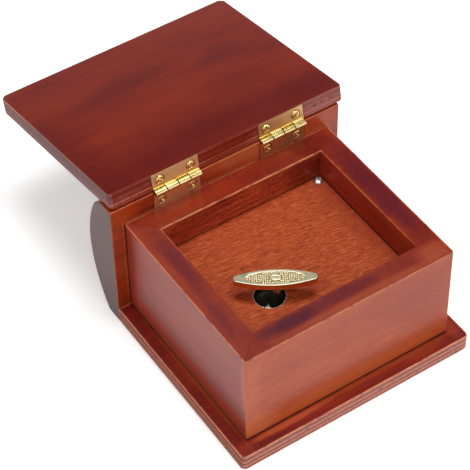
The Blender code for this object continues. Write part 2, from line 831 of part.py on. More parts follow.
def make_comb():
    """Eighteen teeth, long for the low notes and short for the high ones."""
    x0 = comb_x()
    tip = comb_tip_y()
    back = tip + comb_depth
    points = []
    for i in range(note_count):
        share = i / (note_count - 1)
        slot = comb_longest_slot + (comb_shortest_slot - comb_longest_slot) * share
        left = x0 + i * note_pitch + comb_slit / 2
        right = x0 + (i + 1) * note_pitch - comb_slit / 2
        points += [(left, tip + slot), (left, tip), (right, tip), (right, tip + slot)]
    points += [(x0 + note_count * note_pitch, tip + comb_shortest_slot),
               (x0 + note_count * note_pitch, back), (x0, back), (x0, tip + comb_longest_slot)]
    comb = keep("comb", prism(points, comb_top() - comb_thickness, comb_top()), spring_steel())
    holes = bmesh.new()
    for x, y in comb_screw_places():
        add_rod(holes, x, y, screw_shank_diameter / 2 + gap,
                comb_top() - comb_thickness - gap, comb_top() + gap, 10)
    cut(comb, guide("comb_holes", holes))
    for i, (x, y) in enumerate(comb_screw_places()):
        make_screw("comb_screw_%d" % (i + 1), (x, y, comb_top() - comb_thickness - gap),
                   (math.pi, 0, 0), comb_screw_length, nickel(), False, False)


def gear_outline(teeth, radius, depth, fill=0.42, phase=0.0):
    """Trapezoid teeth, less of their depth outside the pitch radius than inside; phase in teeth."""
    points = []
    for i in range(teeth):
        for share, reach in ((-fill / 2 - 0.07, -0.65), (-fill / 2 + 0.09, 0.42),
                             (fill / 2 - 0.09, 0.42), (fill / 2 + 0.07, -0.65)):
            angle = 2 * math.pi * (i + phase + share) / teeth
            r = radius + reach * depth
            points.append((r * math.cos(angle), r * math.sin(angle)))
    return points


def gear(teeth, radius, depth, bore, low, high, axis, phase=0.0):
    outer = gear_outline(teeth, radius, depth, 0.38, phase)
    inner = []
    for x, y in outer:
        angle = math.atan2(y, x)
        inner.append((bore * math.cos(angle), bore * math.sin(angle)))
    return ring_prism(outer, inner, low, high, axis)


def make_spring_housing():
    """A cup that is open towards the bedplate, with crown teeth on its closed side."""
    radius = housing_diameter / 2
    floor_z = crown_z + housing_wall
    bore = arbor_diameter / 2 + running
    mesh = turned([(bore, crown_z), (radius, crown_z), (radius, housing_z),
                   (radius - housing_wall, housing_z), (radius - housing_wall, floor_z), (bore, floor_z)],
                  40)
    place = (key_x, key_y, 0)
    cup = keep("spring_housing", mesh, cast_zinc(), place)
    teeth = bmesh.new()
    inner = radius - crown_face
    for i in range(crown_teeth):
        middle = 2 * math.pi * (i + 0.5) / crown_teeth
        half = 0.21 * 2 * math.pi / crown_teeth
        reach = radius - running
        corners = [(inner, -half), (reach, -half), (reach, half), (inner, half)]
        outline = [(r * math.cos(middle + a), r * math.sin(middle + a)) for r, a in corners]
        add_prism(teeth, outline, crown_z - crown_tooth_height, crown_z + housing_wall / 2)
    join(cup, guide("crown_gear", teeth, place))


def make_mainspring():
    """One unbroken flat strip wound from the arbor out to the housing's wall."""
    inner = arbor_diameter / 2 + gap + spring_strip
    outer = housing_diameter / 2 - housing_wall - gap - spring_strip
    low = crown_z + housing_wall + gap
    high = housing_z - gap
    steps = spring_turns * 16
    mesh = bmesh.new()
    sections = []
    for i in range(steps + 1):
        share = i / steps
        angle = 2 * math.pi * spring_turns * share
        radius = inner + (outer - inner) * share
        section = []
        for r, z in ((radius - spring_strip / 2, low), (radius + spring_strip / 2, low),
                     (radius + spring_strip / 2, high), (radius - spring_strip / 2, high)):
            section.append(mesh.verts.new((r * math.cos(angle), r * math.sin(angle), z)))
        sections.append(section)
    for near, far in zip(sections, sections[1:]):
        for k in range(4):
            mesh.faces.new((near[k], near[(k + 1) % 4], far[(k + 1) % 4], far[k]))
    mesh.faces.new(sections[0][::-1])
    mesh.faces.new(sections[-1])
    keep("mainspring", mesh, spring_steel(), (key_x, key_y, 0))


def make_click():
    """The click lies against the ratchet wheel's tips and is screwed to the bedplate."""
    tip = ratchet_diameter / 2 + seam
    pivot_x = housing_diameter / 2 + click_head / 2 + gap
    outline = [(tip, -click_nose / 2), (pivot_x, -click_width / 2)]
    outline += arc(pivot_x, 0, click_width / 2, -90, 90, 6)[1:]
    outline += [(tip + click_width / 2, click_width / 2), (tip, click_nose / 2)]
    place = (key_x, key_y, 0)
    turn = (0, 0, math.radians(180))
    mesh = prism(outline, ratchet_z - ratchet_thickness, ratchet_z)
    click = keep("click", mesh, spring_steel(), place, turn)
    shank = click_pivot_radius
    hole = bmesh.new()
    add_rod(hole, pivot_x, 0, shank + seam, ratchet_z - ratchet_thickness - gap, ratchet_z + gap, 12)
    cut(click, guide("click_hole", hole, place, turn))
    head = ratchet_z - ratchet_thickness - seam
    low = head - click_head_height
    pin = turned([(0, low), (click_head / 2, low), (click_head / 2, head),
                  (shank, head), (shank, plate_under - seam), (0, plate_under - seam)], 12)
    keep("click_screw", pin, nickel(), (key_x - pivot_x, key_y, 0))


def make_cylinder():
    """The pinned cylinder, its shaft, the drive pinion and the governor gear, all on one axis."""
    place = (0, key_y, shaft_z)
    radius = cylinder_diameter / 2
    bore = shaft_diameter / 2 + running
    mesh = turned([(bore, cylinder_x), (radius, cylinder_x), (radius, cylinder_end), (bore, cylinder_end)],
                  40, "X")
    drum = keep("pinned_cylinder", mesh, pale_brass(), place)
    pins = bmesh.new()
    for step in range(tune_steps):
        angle = 2 * math.pi * step / tune_steps
        low_note = (step * 5) % note_count
        high_note = (step * step + 7 * step) % note_count
        for note in {low_note, high_note}:
            x = comb_x() + (note + 0.5) * note_pitch
            half = pin_side / 2
            across = Vector((0, -math.sin(angle), math.cos(angle)))
            out = Vector((0, math.cos(angle), math.sin(angle)))
            base = Vector((x, 0, 0)) + out * (radius - pin_side)
            tip = Vector((x, 0, 0)) + out * (radius + pin_height)
            low = [mesh_vert(pins, base + Vector((a, 0, 0)) + across * b)
                   for a, b in ((-half, -half), (half, -half), (half, half), (-half, half))]
            high = [mesh_vert(pins, tip + Vector((a, 0, 0)) + across * b)
                    for a, b in ((-half, -half), (half, -half), (half, half), (-half, half))]
            pins.faces.new(low[::-1])
            pins.faces.new(high)
            for k in range(4):
                pins.faces.new((low[k], low[(k + 1) % 4], high[(k + 1) % 4], high[k]))
    join(drum, guide("cylinder_pins", pins, place))

    left = pinion_x - pinion_thickness
    right = far_cheek_x
    shaft = rod(shaft_diameter / 2, left, right, 14, "X")
    keep("cylinder_shaft", shaft, spring_steel(), place)
    phase = pinion_phase()
    mesh = gear(pinion_teeth, pinion_radius, tooth_depth, bore, pinion_x - pinion_thickness / 2,
                pinion_x + pinion_thickness / 2, "X", phase)
    keep("drive_pinion", mesh, pale_brass(), place)
    mesh = gear(drive_gear_teeth, drive_gear_radius, 2 * drive_gear_module, bore, drive_gear_x,
                drive_gear_x + gear_thickness, "X")
    keep("governor_gear", mesh, pale_brass(), place)


def mesh_vert(mesh, point):
    return mesh.verts.new(point)


def pinion_phase():
    """Turns the drive pinion so that a tooth points up into a gap between two crown teeth."""
    up = 0.25 * pinion_teeth
    return up - math.floor(up)


def make_brackets():
    right_bracket_x = far_cheek_x - 2 * bracket_thickness
    for name, x in (("cylinder_bracket_left", left_bracket_x), ("cylinder_bracket_right", right_bracket_x)):
        outline = [(key_y - bracket_width / 2, plate_under - gap), (key_y - bracket_width / 2, shaft_z)]
        outline += arc(key_y, shaft_z, bracket_width / 2, 180, 360, 8)[1:]
        outline += [(key_y + bracket_width / 2, plate_under - gap)]
        thing = keep(name, prism(outline, x, x + bracket_thickness, "X"), cast_zinc())
        hole = bmesh.new()
        add_rod(hole, key_y, shaft_z, shaft_diameter / 2 + running, x - gap, x + bracket_thickness + gap, 14, "X")
        cut(thing, guide(name + "_bearing", hole))


def make_governor():
    """A small frame that carries the governor arbor and the upright worm shaft with its fan."""
    arbor_radius = governor_arbor_radius
    top = plate_under - gap
    cheek_half = cheek_half_width
    low = shaft_z - cheek_below_arbor
    flange = governor_flange
    frame_front = worm_y - fan_length / 2 - 2 * gap - flange
    fan_low = shaft_z - worm_wheel_radius - cheek_below_arbor - fan_height
    foot = fan_low - gap
    frame = keep("governor_frame", block(
        cheek_x, far_cheek_x + bracket_thickness, frame_front, governor_y + cheek_half, top - flange, top),
        cast_zinc())
    sides = bmesh.new()
    for x in (cheek_x, far_cheek_x):
        add_block(sides, x, x + bracket_thickness, governor_y - cheek_half, governor_y + cheek_half,
                  low, top - flange / 2)
    join(frame, guide("governor_cheeks", sides))
    stand = block(worm_x - cheek_half, worm_x + cheek_half, frame_front, frame_front + flange,
                  foot - flange / 2, top - flange / 2)
    join(frame, guide("governor_stand", stand))
    arm = block(worm_x - governor_arm_half, worm_x + governor_arm_half,
                frame_front, worm_y + governor_arm_half, foot - flange, foot)
    join(frame, guide("governor_arm", arm))
    holes = bmesh.new()
    add_rod(holes, governor_y, shaft_z, arbor_radius + running, cheek_x - gap,
            far_cheek_x + bracket_thickness + gap, 12, "X")
    cut(frame, guide("governor_bearings", holes))
    steps = bmesh.new()
    step_radius = worm_shaft_radius + running
    add_rod(steps, worm_x, worm_y, step_radius, foot - flange - gap, foot + gap, 12)
    add_rod(steps, worm_x, worm_y, step_radius, top - flange - gap, top + gap, 12)
    cut(frame, guide("worm_bearings", steps))

    place = (0, governor_y, shaft_z)
    arbor = keep("governor_arbor", rod(arbor_radius, cheek_x, far_cheek_x + bracket_thickness, 12, "X"),
                 spring_steel(), place)
    # The pinion's gap faces the tooth of the governor gear that points at it
    pinion = prism(gear_outline(governor_pinion_teeth, governor_pinion_radius, 2 * drive_gear_module,
                                0.34, 0.5), drive_gear_x, drive_gear_x + gear_thickness, "X")
    join(arbor, guide("governor_pinion", pinion, place))
    mesh = gear(worm_wheel_teeth, worm_wheel_radius, worm_wheel_module * 1.2, arbor_radius + running,
                worm_wheel_x, worm_wheel_x + worm_wheel_thickness, "X")
    keep("worm_wheel", mesh, pale_brass(), place)

    # The worm: a shaft whose middle carries a two start thread
    high_z = shaft_z + worm_half_length
    low_z = shaft_z - worm_half_length
    lead = math.pi * worm_wheel_module * worm_starts
    sides = 12
    rows = 20
    mesh = bmesh.new()
    rings = []
    levels = [(foot - flange, worm_shaft_radius, 0), (low_z, worm_shaft_radius, 0)]
    for i in range(rows + 1):
        levels.append((low_z + (high_z - low_z) * i / rows, worm_root_radius, 1))
    levels += [(high_z, worm_shaft_radius, 0), (top, worm_shaft_radius, 0)]
    for z, radius, threaded in levels:
        ring = []
        for k in range(sides):
            angle = 2 * math.pi * k / sides
            r = radius
            if threaded:
                wave = math.cos(worm_starts * angle - 2 * math.pi * worm_starts * (z - shaft_z) / lead)
                r = radius + worm_ridge * wave
            ring.append(mesh.verts.new((r * math.cos(angle), r * math.sin(angle), z)))
        rings.append(ring)
    for near, far in zip(rings, rings[1:]):
        for k in range(sides):
            j = (k + 1) % sides
            mesh.faces.new((near[k], near[j], far[j], far[k]))
    mesh.faces.new(rings[0][::-1])
    mesh.faces.new(rings[-1])
    keep("worm_shaft", mesh, spring_steel(), (worm_x, worm_y, 0))

    fan_top = fan_low + fan_height
    hub = ring_prism(circle(0, 0, fan_hub_radius, 16), circle(0, 0, step_radius, 16), fan_low, fan_top)
    fan = keep("fan", hub, black_plastic(), (worm_x, worm_y, 0))
    vanes = bmesh.new()
    root = (fan_hub_radius + step_radius) / 2
    half = fan_thickness / 2
    add_block(vanes, root, fan_length / 2, -half, half, fan_low, fan_top)
    add_block(vanes, -fan_length / 2, -root, -half, half, fan_low, fan_top)
    join(fan, guide("fan_vanes", vanes, (worm_x, worm_y, 0)))


def clear_scene():
    for thing in list(bpy.data.objects):
        bpy.data.objects.remove(thing, do_unlink=True)


clear_scene()
make_base_board()
make_spine_block()
make_walls()
make_panel()
make_panel_screws()
make_lid_board()
make_hinges()
make_key()
make_bedplate()
make_comb()
make_spring_housing()
make_mainspring()
make_click()
make_cylinder()
make_brackets()
make_governor()
print("lid opens %.2f degrees past the flat" % math.degrees(open_tilt()))
print("shaft height %.2f mm, far cheek at %.2f mm, room ends at %.2f mm"
      % (shaft_z / mm, (far_cheek_x + bracket_thickness) / mm, room_x / mm))
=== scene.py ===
import json
import math
import random

import bmesh
import bpy
from mathutils import Matrix, Vector


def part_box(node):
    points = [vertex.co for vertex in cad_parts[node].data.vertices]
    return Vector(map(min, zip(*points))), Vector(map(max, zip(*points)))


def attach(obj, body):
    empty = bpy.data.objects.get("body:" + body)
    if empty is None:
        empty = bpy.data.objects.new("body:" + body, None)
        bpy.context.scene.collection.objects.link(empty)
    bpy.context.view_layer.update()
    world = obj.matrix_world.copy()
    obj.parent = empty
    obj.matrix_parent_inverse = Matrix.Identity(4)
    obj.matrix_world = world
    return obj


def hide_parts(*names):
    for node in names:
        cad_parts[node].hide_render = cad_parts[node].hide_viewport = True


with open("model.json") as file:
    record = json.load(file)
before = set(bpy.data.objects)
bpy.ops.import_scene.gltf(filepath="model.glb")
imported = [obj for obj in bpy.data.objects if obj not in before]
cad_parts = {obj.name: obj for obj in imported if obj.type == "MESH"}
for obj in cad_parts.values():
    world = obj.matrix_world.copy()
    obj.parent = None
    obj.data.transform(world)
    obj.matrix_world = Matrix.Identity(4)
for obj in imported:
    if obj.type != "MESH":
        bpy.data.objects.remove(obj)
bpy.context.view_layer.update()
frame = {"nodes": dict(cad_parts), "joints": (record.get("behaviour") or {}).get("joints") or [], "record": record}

# sizes below are in millimetres unless a note says otherwise
mm = 0.001
same = 1e-6  # two levels nearer than this are one


def span(node):
    low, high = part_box(node)
    return low / mm, high / mm


# places that several pieces share, read from the CAD nodes
baseLow, baseHigh = span("base_board")
spineLow, spineHigh = span("spine_block")
frontLow, frontHigh = span("front_wall")
leftLow, leftHigh = span("left_wall")
rightLow, rightHigh = span("right_wall")
backLow, backHigh = span("back_wall")
panelLow, panelHigh = span("inner_panel")
keyLow, keyHigh = span("winding_key")
joints = {joint["name"]: joint for joint in frame["joints"]}
hingePoint = Vector(joints["lid_hinge"]["pos_m"]) / mm
hingePlace = Matrix.Translation(hingePoint)
lidOpen = math.radians(joints["lid_hinge"]["range_deg"][1] - 180)
lidTurn = hingePlace @ Matrix.Rotation(-lidOpen, 4, "X")
keyPoint = Vector(joints["key_winding"]["pos_m"]) / mm

# place in metres, angles in degrees
camera = {"place": (-0.29783, -0.42228, 0.61881), "azimuth": -32.693, "elevation": 47.234,
          "roll": -1.316, "lens": 149.80, "near": 0.01, "far": 20}


def makeCamera():
    azimuth, elevation, roll = (math.radians(camera[k]) for k in ("azimuth", "elevation", "roll"))
    back = Vector((math.sin(azimuth) * math.cos(elevation), -math.cos(azimuth) * math.cos(elevation),
                   math.sin(elevation)))
    level = Vector((math.cos(azimuth), math.sin(azimuth), 0))
    lift = back.cross(level)
    right = level * math.cos(roll) + lift * math.sin(roll)
    up = lift * math.cos(roll) - level * math.sin(roll)
    lens = bpy.data.cameras.new("camera")
    lens.lens = camera["lens"]
    lens.clip_start, lens.clip_end = camera["near"], camera["far"]
    eye = bpy.data.objects.new("camera", lens)
    eye.matrix_world = Matrix.Translation(camera["place"]) @ Matrix((right, up, back)).transposed().to_4x4()
    bpy.context.scene.collection.objects.link(eye)
    bpy.context.scene.camera = eye


print("camera")
makeCamera()


def colour(tint):
    # a colour as it looks on a screen, 0 to 255, as the shader's linear one
    def linear(c):
        c = c / 255
        return c / 12.92 if c <= 0.04045 else ((c + 0.055) / 1.055) ** 2.4
    return (*(linear(c) for c in tint), 1)


class Wire:
    # one socket of a material; sums on it add Math nodes
    def __init__(self, paint, socket):
        self.paint, self.socket = paint, socket

    def maths(self, operation, *values):
        return self.paint.node("ShaderNodeMath", {"operation": operation}, dict(enumerate(values)))

    def __add__(self, other):
        return self.maths("ADD", self, other)

    def __sub__(self, other):
        return self.maths("SUBTRACT", self, other)

    def __rsub__(self, other):
        return self.maths("SUBTRACT", other, self)

    def __mul__(self, other):
        return self.maths("MULTIPLY", self, other)

    def __truediv__(self, other):
        return self.maths("DIVIDE", self, other)

    def __pow__(self, other):
        return self.maths("POWER", self, other)

    __radd__ = __add__
    __rmul__ = __mul__

    def size(self):
        return self.maths("ABSOLUTE", self)

    def distance(self, other):
        # how far out a point lies whose two parts these are
        return (self * self + other * other) ** 0.5

    def least(self, other):
        return self.maths("MINIMUM", self, other)

    def most(self, other):
        return self.maths("MAXIMUM", self, other)

    def ramp(self, low, high):
        # 0 at low, 1 at high, eased at both ends
        inputs = {"Value": self, "From Min": low, "From Max": high}
        return self.paint.node("ShaderNodeMapRange", {"interpolation_type": "SMOOTHSTEP"}, inputs)


class Wiring:
    # makes nodes in one node tree
    def __init__(self, tree):
        self.tree = tree

    def node(self, kind, settings=None, sockets=None, output=0):
        made = self.tree.nodes.new(kind)
        for key, value in (settings or {}).items():
            if key == "stops":
                stops = made.color_ramp.elements
                while len(stops) < len(value):
                    stops.new(0.5)
                for stop, (place, tint) in zip(stops, value):
                    stop.position, stop.color = place, colour(tint)
            else:
                setattr(made, key, value)
        for key, value in (sockets or {}).items():
            self.join(made.inputs[key], value)
        return Wire(self, made.outputs[output]) if made.outputs else None

    def join(self, socket, value):
        if isinstance(value, Wire):
            self.tree.links.new(value.socket, socket)
        elif socket.type == "RGBA":
            socket.default_value = colour(value)
        else:
            socket.default_value = value

    def vector(self, operation, *values, output=0, **named):
        inputs = {**dict(enumerate(values)), **named}
        return self.node("ShaderNodeVectorMath", {"operation": operation}, inputs, output)

    def along(self, point, axis):
        return self.vector("DOT_PRODUCT", point, tuple(axis), output="Value")

    def parts(self, point, turn=None):
        # a point's X, Y and Z, in the frame of a board that was turned if turn is given
        if turn is None:
            return [self.along(point, axis) for axis in alongX]
        back = turn.inverted()
        return [self.along(point, back[i][:3]) + back[i][3] for i in range(3)]

    def bundle(self, x, y, z):
        return self.node("ShaderNodeCombineXYZ", None, {0: x, 1: y, 2: z})

    def noise(self, point, scale, detail, rough, seed):
        inputs = {"Vector": point, "W": seed, "Scale": scale, "Detail": detail, "Roughness": rough}
        return self.node("ShaderNodeTexNoise", {"noise_dimensions": "4D"}, inputs)

    def strands(self, parts, scales, detail, rough, seed):
        # noise drawn out along the part with the small scale
        drawn = self.bundle(*(part * scale for part, scale in zip(parts, scales)))
        return self.noise(drawn, 1.0, detail, rough, seed)

    def mix(self, share, first, second):
        settings = {"data_type": "RGBA", "clamp_factor": True}
        return self.node("ShaderNodeMix", settings, {0: share, 6: first, 7: second}, 2)

    def tones(self, value, stops):
        return self.node("ShaderNodeValToRGB", {"stops": stops}, {0: value})

    def bump(self, height, strength, depth):
        return self.node("ShaderNodeBump", None, {"Height": height, "Strength": strength, "Distance": depth})

    def rays(self, kind):
        return self.node("ShaderNodeLightPath", output=kind)


class Paint(Wiring):
    # a material under construction
    def __init__(self, name, **constants):
        self.material = bpy.data.materials.new(name)
        self.material.use_nodes = True
        super().__init__(self.material.node_tree)
        self.shader = self.tree.nodes["Principled BSDF"]
        self.set({key.replace("_", " "): value for key, value in constants.items()})

    def set(self, values):
        for key, value in values.items():
            self.join(self.shader.inputs[key], value)

    def place(self):
        # where a point of the surface lies
        coords = self.node("ShaderNodeTexCoord", output="Object")
        return self.vector("SCALE", coords, Scale=1 / mm)


# stained wood; a board's axes are along the grain, across it and through it
alongX = ((1, 0, 0), (0, 1, 0), (0, 0, 1))
alongY = ((0, 1, 0), (1, 0, 0), (0, 0, 1))
varnish = {"gloss": 0.27, "ior": 1.5, "dullOver": 0.3, "contrast": 2.4}
relief = {"grain": 0.00005, "veneer": 0.00008, "brass": 0.00005, "leaf": 0.00004}  # depths in metres
rubbed = (206, 104, 56)
glueLine = (44, 16, 12)
footShadeTint = (100, 24, 16)


def stainedWood(name, look, axes, changes):
    # varnished board: streaks and pores run along the grain, the stain lies in soft patches
    paint = Paint(name, Specular_IOR_Level=0.0, Coat_Weight=1.0, Coat_IOR=varnish["ior"],
                  Coat_Roughness=look.get("gloss", varnish["gloss"]))
    p = paint.place()
    seed = look["seed"]
    g, a, u = (paint.along(p, axis) for axis in axes)
    bend = paint.strands((g, a, u), (0.02, 0.05, 0.05), 2.0, 0.5, seed) * 6.0
    streak = paint.strands((g, a + bend, u + bend), (0.016, 0.50, 0.50), 4.0, 0.6, seed + 3)
    fine = paint.strands((g, a, u), (0.13, 1.3, 1.3), 3.0, 0.65, seed + 5)
    patch = paint.strands((g, a, u), (0.020, 0.055, 0.055), 3.0, 0.5, seed + 7)
    grit = paint.noise(p, 0.8, 3.0, 0.7, seed + 9)
    contrast = varnish["contrast"]
    cloud = (patch - 0.5) * (look["blotch"] * contrast) + (streak - 0.5) * (look["streaks"] * contrast) + 0.5
    cloud = cloud + (grit - 0.5) * look["pores"]
    body = paint.tones(cloud, [(0.22, look["light"]), (0.5, look["mid"]), (0.85, look["dark"])])
    body = paint.mix(fine.ramp(0.52, 0.70) * look["pores"], body, look["dark"])
    body = paint.mix((1 - fine.ramp(0.30, 0.48)) * (look["pores"] * 0.7), body, look["light"])
    for change in changes:
        body = change(paint, p, body)
    if "dull" in look:
        # less varnish below a level on one axis
        axis, level, below, above = look["dull"]
        share = paint.along(p, axis).ramp(level, level + varnish["dullOver"])
        paint.set({"Coat Weight": below + share * (above - below)})
    paint.set({"Base Color": body, "Roughness": 0.5 + (patch - 0.5) * 0.2,
               "Normal": paint.bump(streak * 0.4 + fine * 0.25, 0.25, relief["grain"])})
    return paint.material


def spots(marks, turn=None):
    # soft patches of colour, each with its centre, its reach along X, Y and Z, a colour and a strength; most are
    # stain, and some lists use them for painted shade, shadow, highlight and sheen
    def change(paint, p, body):
        own = p if turn is None else paint.bundle(*paint.parts(p, turn))
        ragged = paint.noise(own, 0.16, 3.0, 0.6, 1.0) * 0.6 - 0.3
        for centre, reach, tint, amount in marks:
            gap = paint.vector("DIVIDE", paint.vector("SUBTRACT", own, centre), reach)
            far = paint.vector("LENGTH", gap, output="Value") + ragged
            body = paint.mix((1 - far.ramp(0.35, 1.1)) * amount, body, tint)
        return body
    return change


def middle(a, b, c):
    # the middle one of three numbers
    return a.least(b).most(a.most(b).least(c))


def arrisWearAndHighlight(paint, p, near, body, reach, amount, tint=rubbed):
    # stain worn thin along an arris that lies near away, partly a painted highlight on the arris
    fleck = paint.noise(p, 0.35, 3.0, 0.6, 2.0).ramp(0.22, 0.60)
    return paint.mix((1 - near.ramp(0.04, reach)) * fleck * amount, body, tint)


def boxEdges(low, high, worn, turn=None):
    # worn arrises of a board that lies between two corners, partly painted highlight
    centre, half = (low + high) / 2, (high - low) / 2

    def change(paint, p, body):
        own = paint.parts(p, turn)
        inside = [half[i] - (own[i] - centre[i]).size() for i in range(3)]
        return arrisWearAndHighlight(paint, p, middle(*inside), body, worn["reach"], worn["amount"], worn["tint"])
    return change


def plyEdge(low, board, thickness, turn=None):
    # lines of a plywood edge: they show where the surface is not one of the two broad faces
    ply = board["ply"]
    stops = [(place, ply[layer]) for place, layer in board["layers"]]

    def change(paint, p, body):
        height = (paint.parts(p, turn)[2] - low) / thickness
        wobble = (paint.noise(p, 0.12, 2.0, 0.5, 9.0) - 0.5) * 0.03
        lines = paint.tones(height + wobble, stops)
        fade = paint.noise(p, 0.07, 2.0, 0.5, 10.0).ramp(0.35, 0.65)
        lines = paint.mix(fade * 0.3, lines, ply["veneer"])
        dots = paint.noise(p, 0.9, 2.0, 0.6, 12.0).ramp(0.56, 0.66)
        lines = paint.mix(dots * 0.6, lines, ply["dot"])
        onEdge = 1 - (height - 0.5).size().ramp(0.455, 0.485)
        return paint.mix(onEdge, body, lines)
    return change


# plain metals and dull finishes

def brass(name, tint, rough, tarnish, seed, mark=0.3):
    # brass with faint handling marks
    paint = Paint(name, Metallic=1.0)
    p = paint.place()
    smear = paint.noise(p, 0.22, 4.0, 0.6, seed)
    speck = paint.noise(p, 1.1, 3.0, 0.6, seed + 1).ramp(0.50, 0.72)
    dull = (smear.ramp(0.42, 0.66) * 0.6 + speck * 0.4) * mark
    paint.set({"Base Color": paint.mix(dull, tint, tarnish), "Roughness": dull * 0.2 + rough,
               "Normal": paint.bump(smear, 0.05, relief["brass"])})
    return paint.material


def steel(name, tint, rough, seed):
    paint = Paint(name, Metallic=1.0)
    smear = paint.noise(paint.place(), 0.6, 4.0, 0.6, seed)
    paint.set({"Base Color": paint.mix(smear * 0.2, tint, (0, 0, 0)), "Roughness": rough + smear * 0.12})
    return paint.material


def dullPaint(name, first, second, rough, scale):
    # something without shine, in two near tones
    paint = Paint(name, Specular_IOR_Level=0.15)
    patch = paint.noise(paint.vector("MULTIPLY", paint.place(), scale), 1.0, 4.0, 0.6, 1.0)
    body = paint.mix(patch.ramp(0.35, 0.65), first, second)
    paint.set({"Base Color": body, "Roughness": patch * 0.2 + (rough - 0.1)})
    return paint.material


# making meshes; each is drawn in millimetres and put in its place by a matrix
sharpAngle = 32


def toMetres(mesh, place):
    bmesh.ops.scale(mesh, vec=(mm, mm, mm), verts=mesh.verts)
    if place is not None:
        moved = place.copy()
        moved.translation = moved.translation * mm
        bmesh.ops.transform(mesh, matrix=moved, verts=mesh.verts)
    bmesh.ops.recalc_face_normals(mesh, faces=mesh.faces)


def meshObject(name, mesh):
    data = bpy.data.meshes.new(name)
    mesh.to_mesh(data)
    mesh.free()
    thing = bpy.data.objects.new(name, data)
    bpy.context.scene.collection.objects.link(thing)
    return thing


def newPiece(name, mesh, material, body, sharp=sharpAngle, place=None, weighted=True, stands=()):
    toMetres(mesh, place)
    piece = meshObject(name, mesh)
    piece.data.materials.append(material)
    piece.data.shade_smooth()
    piece.data.set_sharp_from_angle(angle=math.radians(sharp))
    if weighted:
        even = piece.modifiers.new("evenNormals", "WEIGHTED_NORMAL")
        even.keep_sharp = True
    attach(piece, body)
    if stands:
        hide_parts(*stands)
    return piece


def carve(piece, mesh, place=None):
    # cuts a shape out of a piece for good
    toMetres(mesh, place)
    cutter = meshObject("cutter", mesh)
    even = piece.modifiers["evenNormals"]
    even.show_viewport = False
    step = piece.modifiers.new("carve", "BOOLEAN")
    step.operation, step.solver, step.object = "DIFFERENCE", "EXACT", cutter
    graph = bpy.context.evaluated_depsgraph_get()
    result = bpy.data.meshes.new_from_object(piece.evaluated_get(graph))
    piece.modifiers.remove(step)
    even.show_viewport = True
    old, left = piece.data, cutter.data
    piece.data = result
    result.name = old.name
    result.shade_smooth()
    result.set_sharp_from_angle(angle=math.radians(sharpAngle))
    bpy.data.objects.remove(cutter)
    bpy.data.meshes.remove(left)
    bpy.data.meshes.remove(old)


def arc(cx, cy, radius, start, end, steps):
    points = []
    for i in range(steps + 1):
        angle = math.radians(start + (end - start) * i / steps)
        points.append((cx + radius * math.cos(angle), cy + radius * math.sin(angle)))
    return points


def onAxis(p, level, axis):
    if axis == "X":
        return (level, p[0], p[1])
    if axis == "Y":
        return (p[0], level, p[1])
    return (p[0], p[1], level)


def loft(mesh, rings):
    # a closed skin over rings of equally many points
    made = [[mesh.verts.new(p) for p in ring] for ring in rings]
    mesh.faces.new(made[0][::-1])
    mesh.faces.new(made[-1])
    for near, far in zip(made, made[1:]):
        for i in range(len(near)):
            j = (i + 1) % len(near)
            mesh.faces.new((near[i], near[j], far[j], far[i]))


def prism(outline, low, high, axis="Z"):
    mesh = bmesh.new()
    loft(mesh, [[onAxis(p, level, axis) for p in outline] for level in (low, high)])
    return mesh


def block(low, high):
    corners = [(low[0], low[1]), (high[0], low[1]), (high[0], high[1]), (low[0], high[1])]
    return prism(corners, low[2], high[2])


def turned(profile, sides, axis="Z"):
    # (radius, level) points turned round an axis; radius 0 closes an end
    mesh = bmesh.new()
    rings = []
    for radius, level in profile:
        if radius == 0:
            rings.append([mesh.verts.new(onAxis((0, 0), level, axis))])
        else:
            rings.append([mesh.verts.new(onAxis(p, level, axis))
                          for p in arc(0, 0, radius, 0, 360 * (sides - 1) / sides, sides - 1)])
    for near, far in zip(rings, rings[1:] + rings[:1]):
        for i in range(sides):
            j = (i + 1) % sides
            if len(near) == 1 and len(far) == 1:
                break
            if len(near) == 1:
                mesh.faces.new((near[0], far[j], far[i]))
            elif len(far) == 1:
                mesh.faces.new((near[i], near[j], far[0]))
            else:
                mesh.faces.new((near[i], near[j], far[j], far[i]))
    return mesh


def shrink(outline, amount):
    # a closed outline, anticlockwise, moved inwards
    moved = []
    for i, point in enumerate(outline):
        before, after = Vector(outline[i - 1]), Vector(outline[(i + 1) % len(outline)])
        along = (after - before).normalized()
        moved.append((point[0] - along.y * amount, point[1] + along.x * amount))
    return moved


def ease(mesh, wanted, width):
    # rounds the arrises that wanted(a, b) picks
    picked = [e for e in mesh.edges if wanted(e.verts[0].co, e.verts[1].co)]
    bmesh.ops.bevel(mesh, geom=picked, offset=width, segments=4, profile=0.5, affect="EDGES",
                    clamp_overlap=True)


def levelled(a, b):
    return abs(a.z - b.z) < same


def roundedRectangle(low, high, radii, steps=8):
    # radii gives the rounded corners, named a to d anticlockwise from the lowest x and y
    points = []
    for letter, x, y, start in (("a", low[0], low[1], 180), ("b", high[0], low[1], 270),
                                ("c", high[0], high[1], 0), ("d", low[0], high[1], 90)):
        radius = radii.get(letter)
        if radius is None:
            points.append((x, y))
            continue
        cx = x + radius if x == low[0] else x - radius
        cy = y + radius if y == low[1] else y - radius
        points += arc(cx, cy, radius, start, start + 90, steps)
    return points


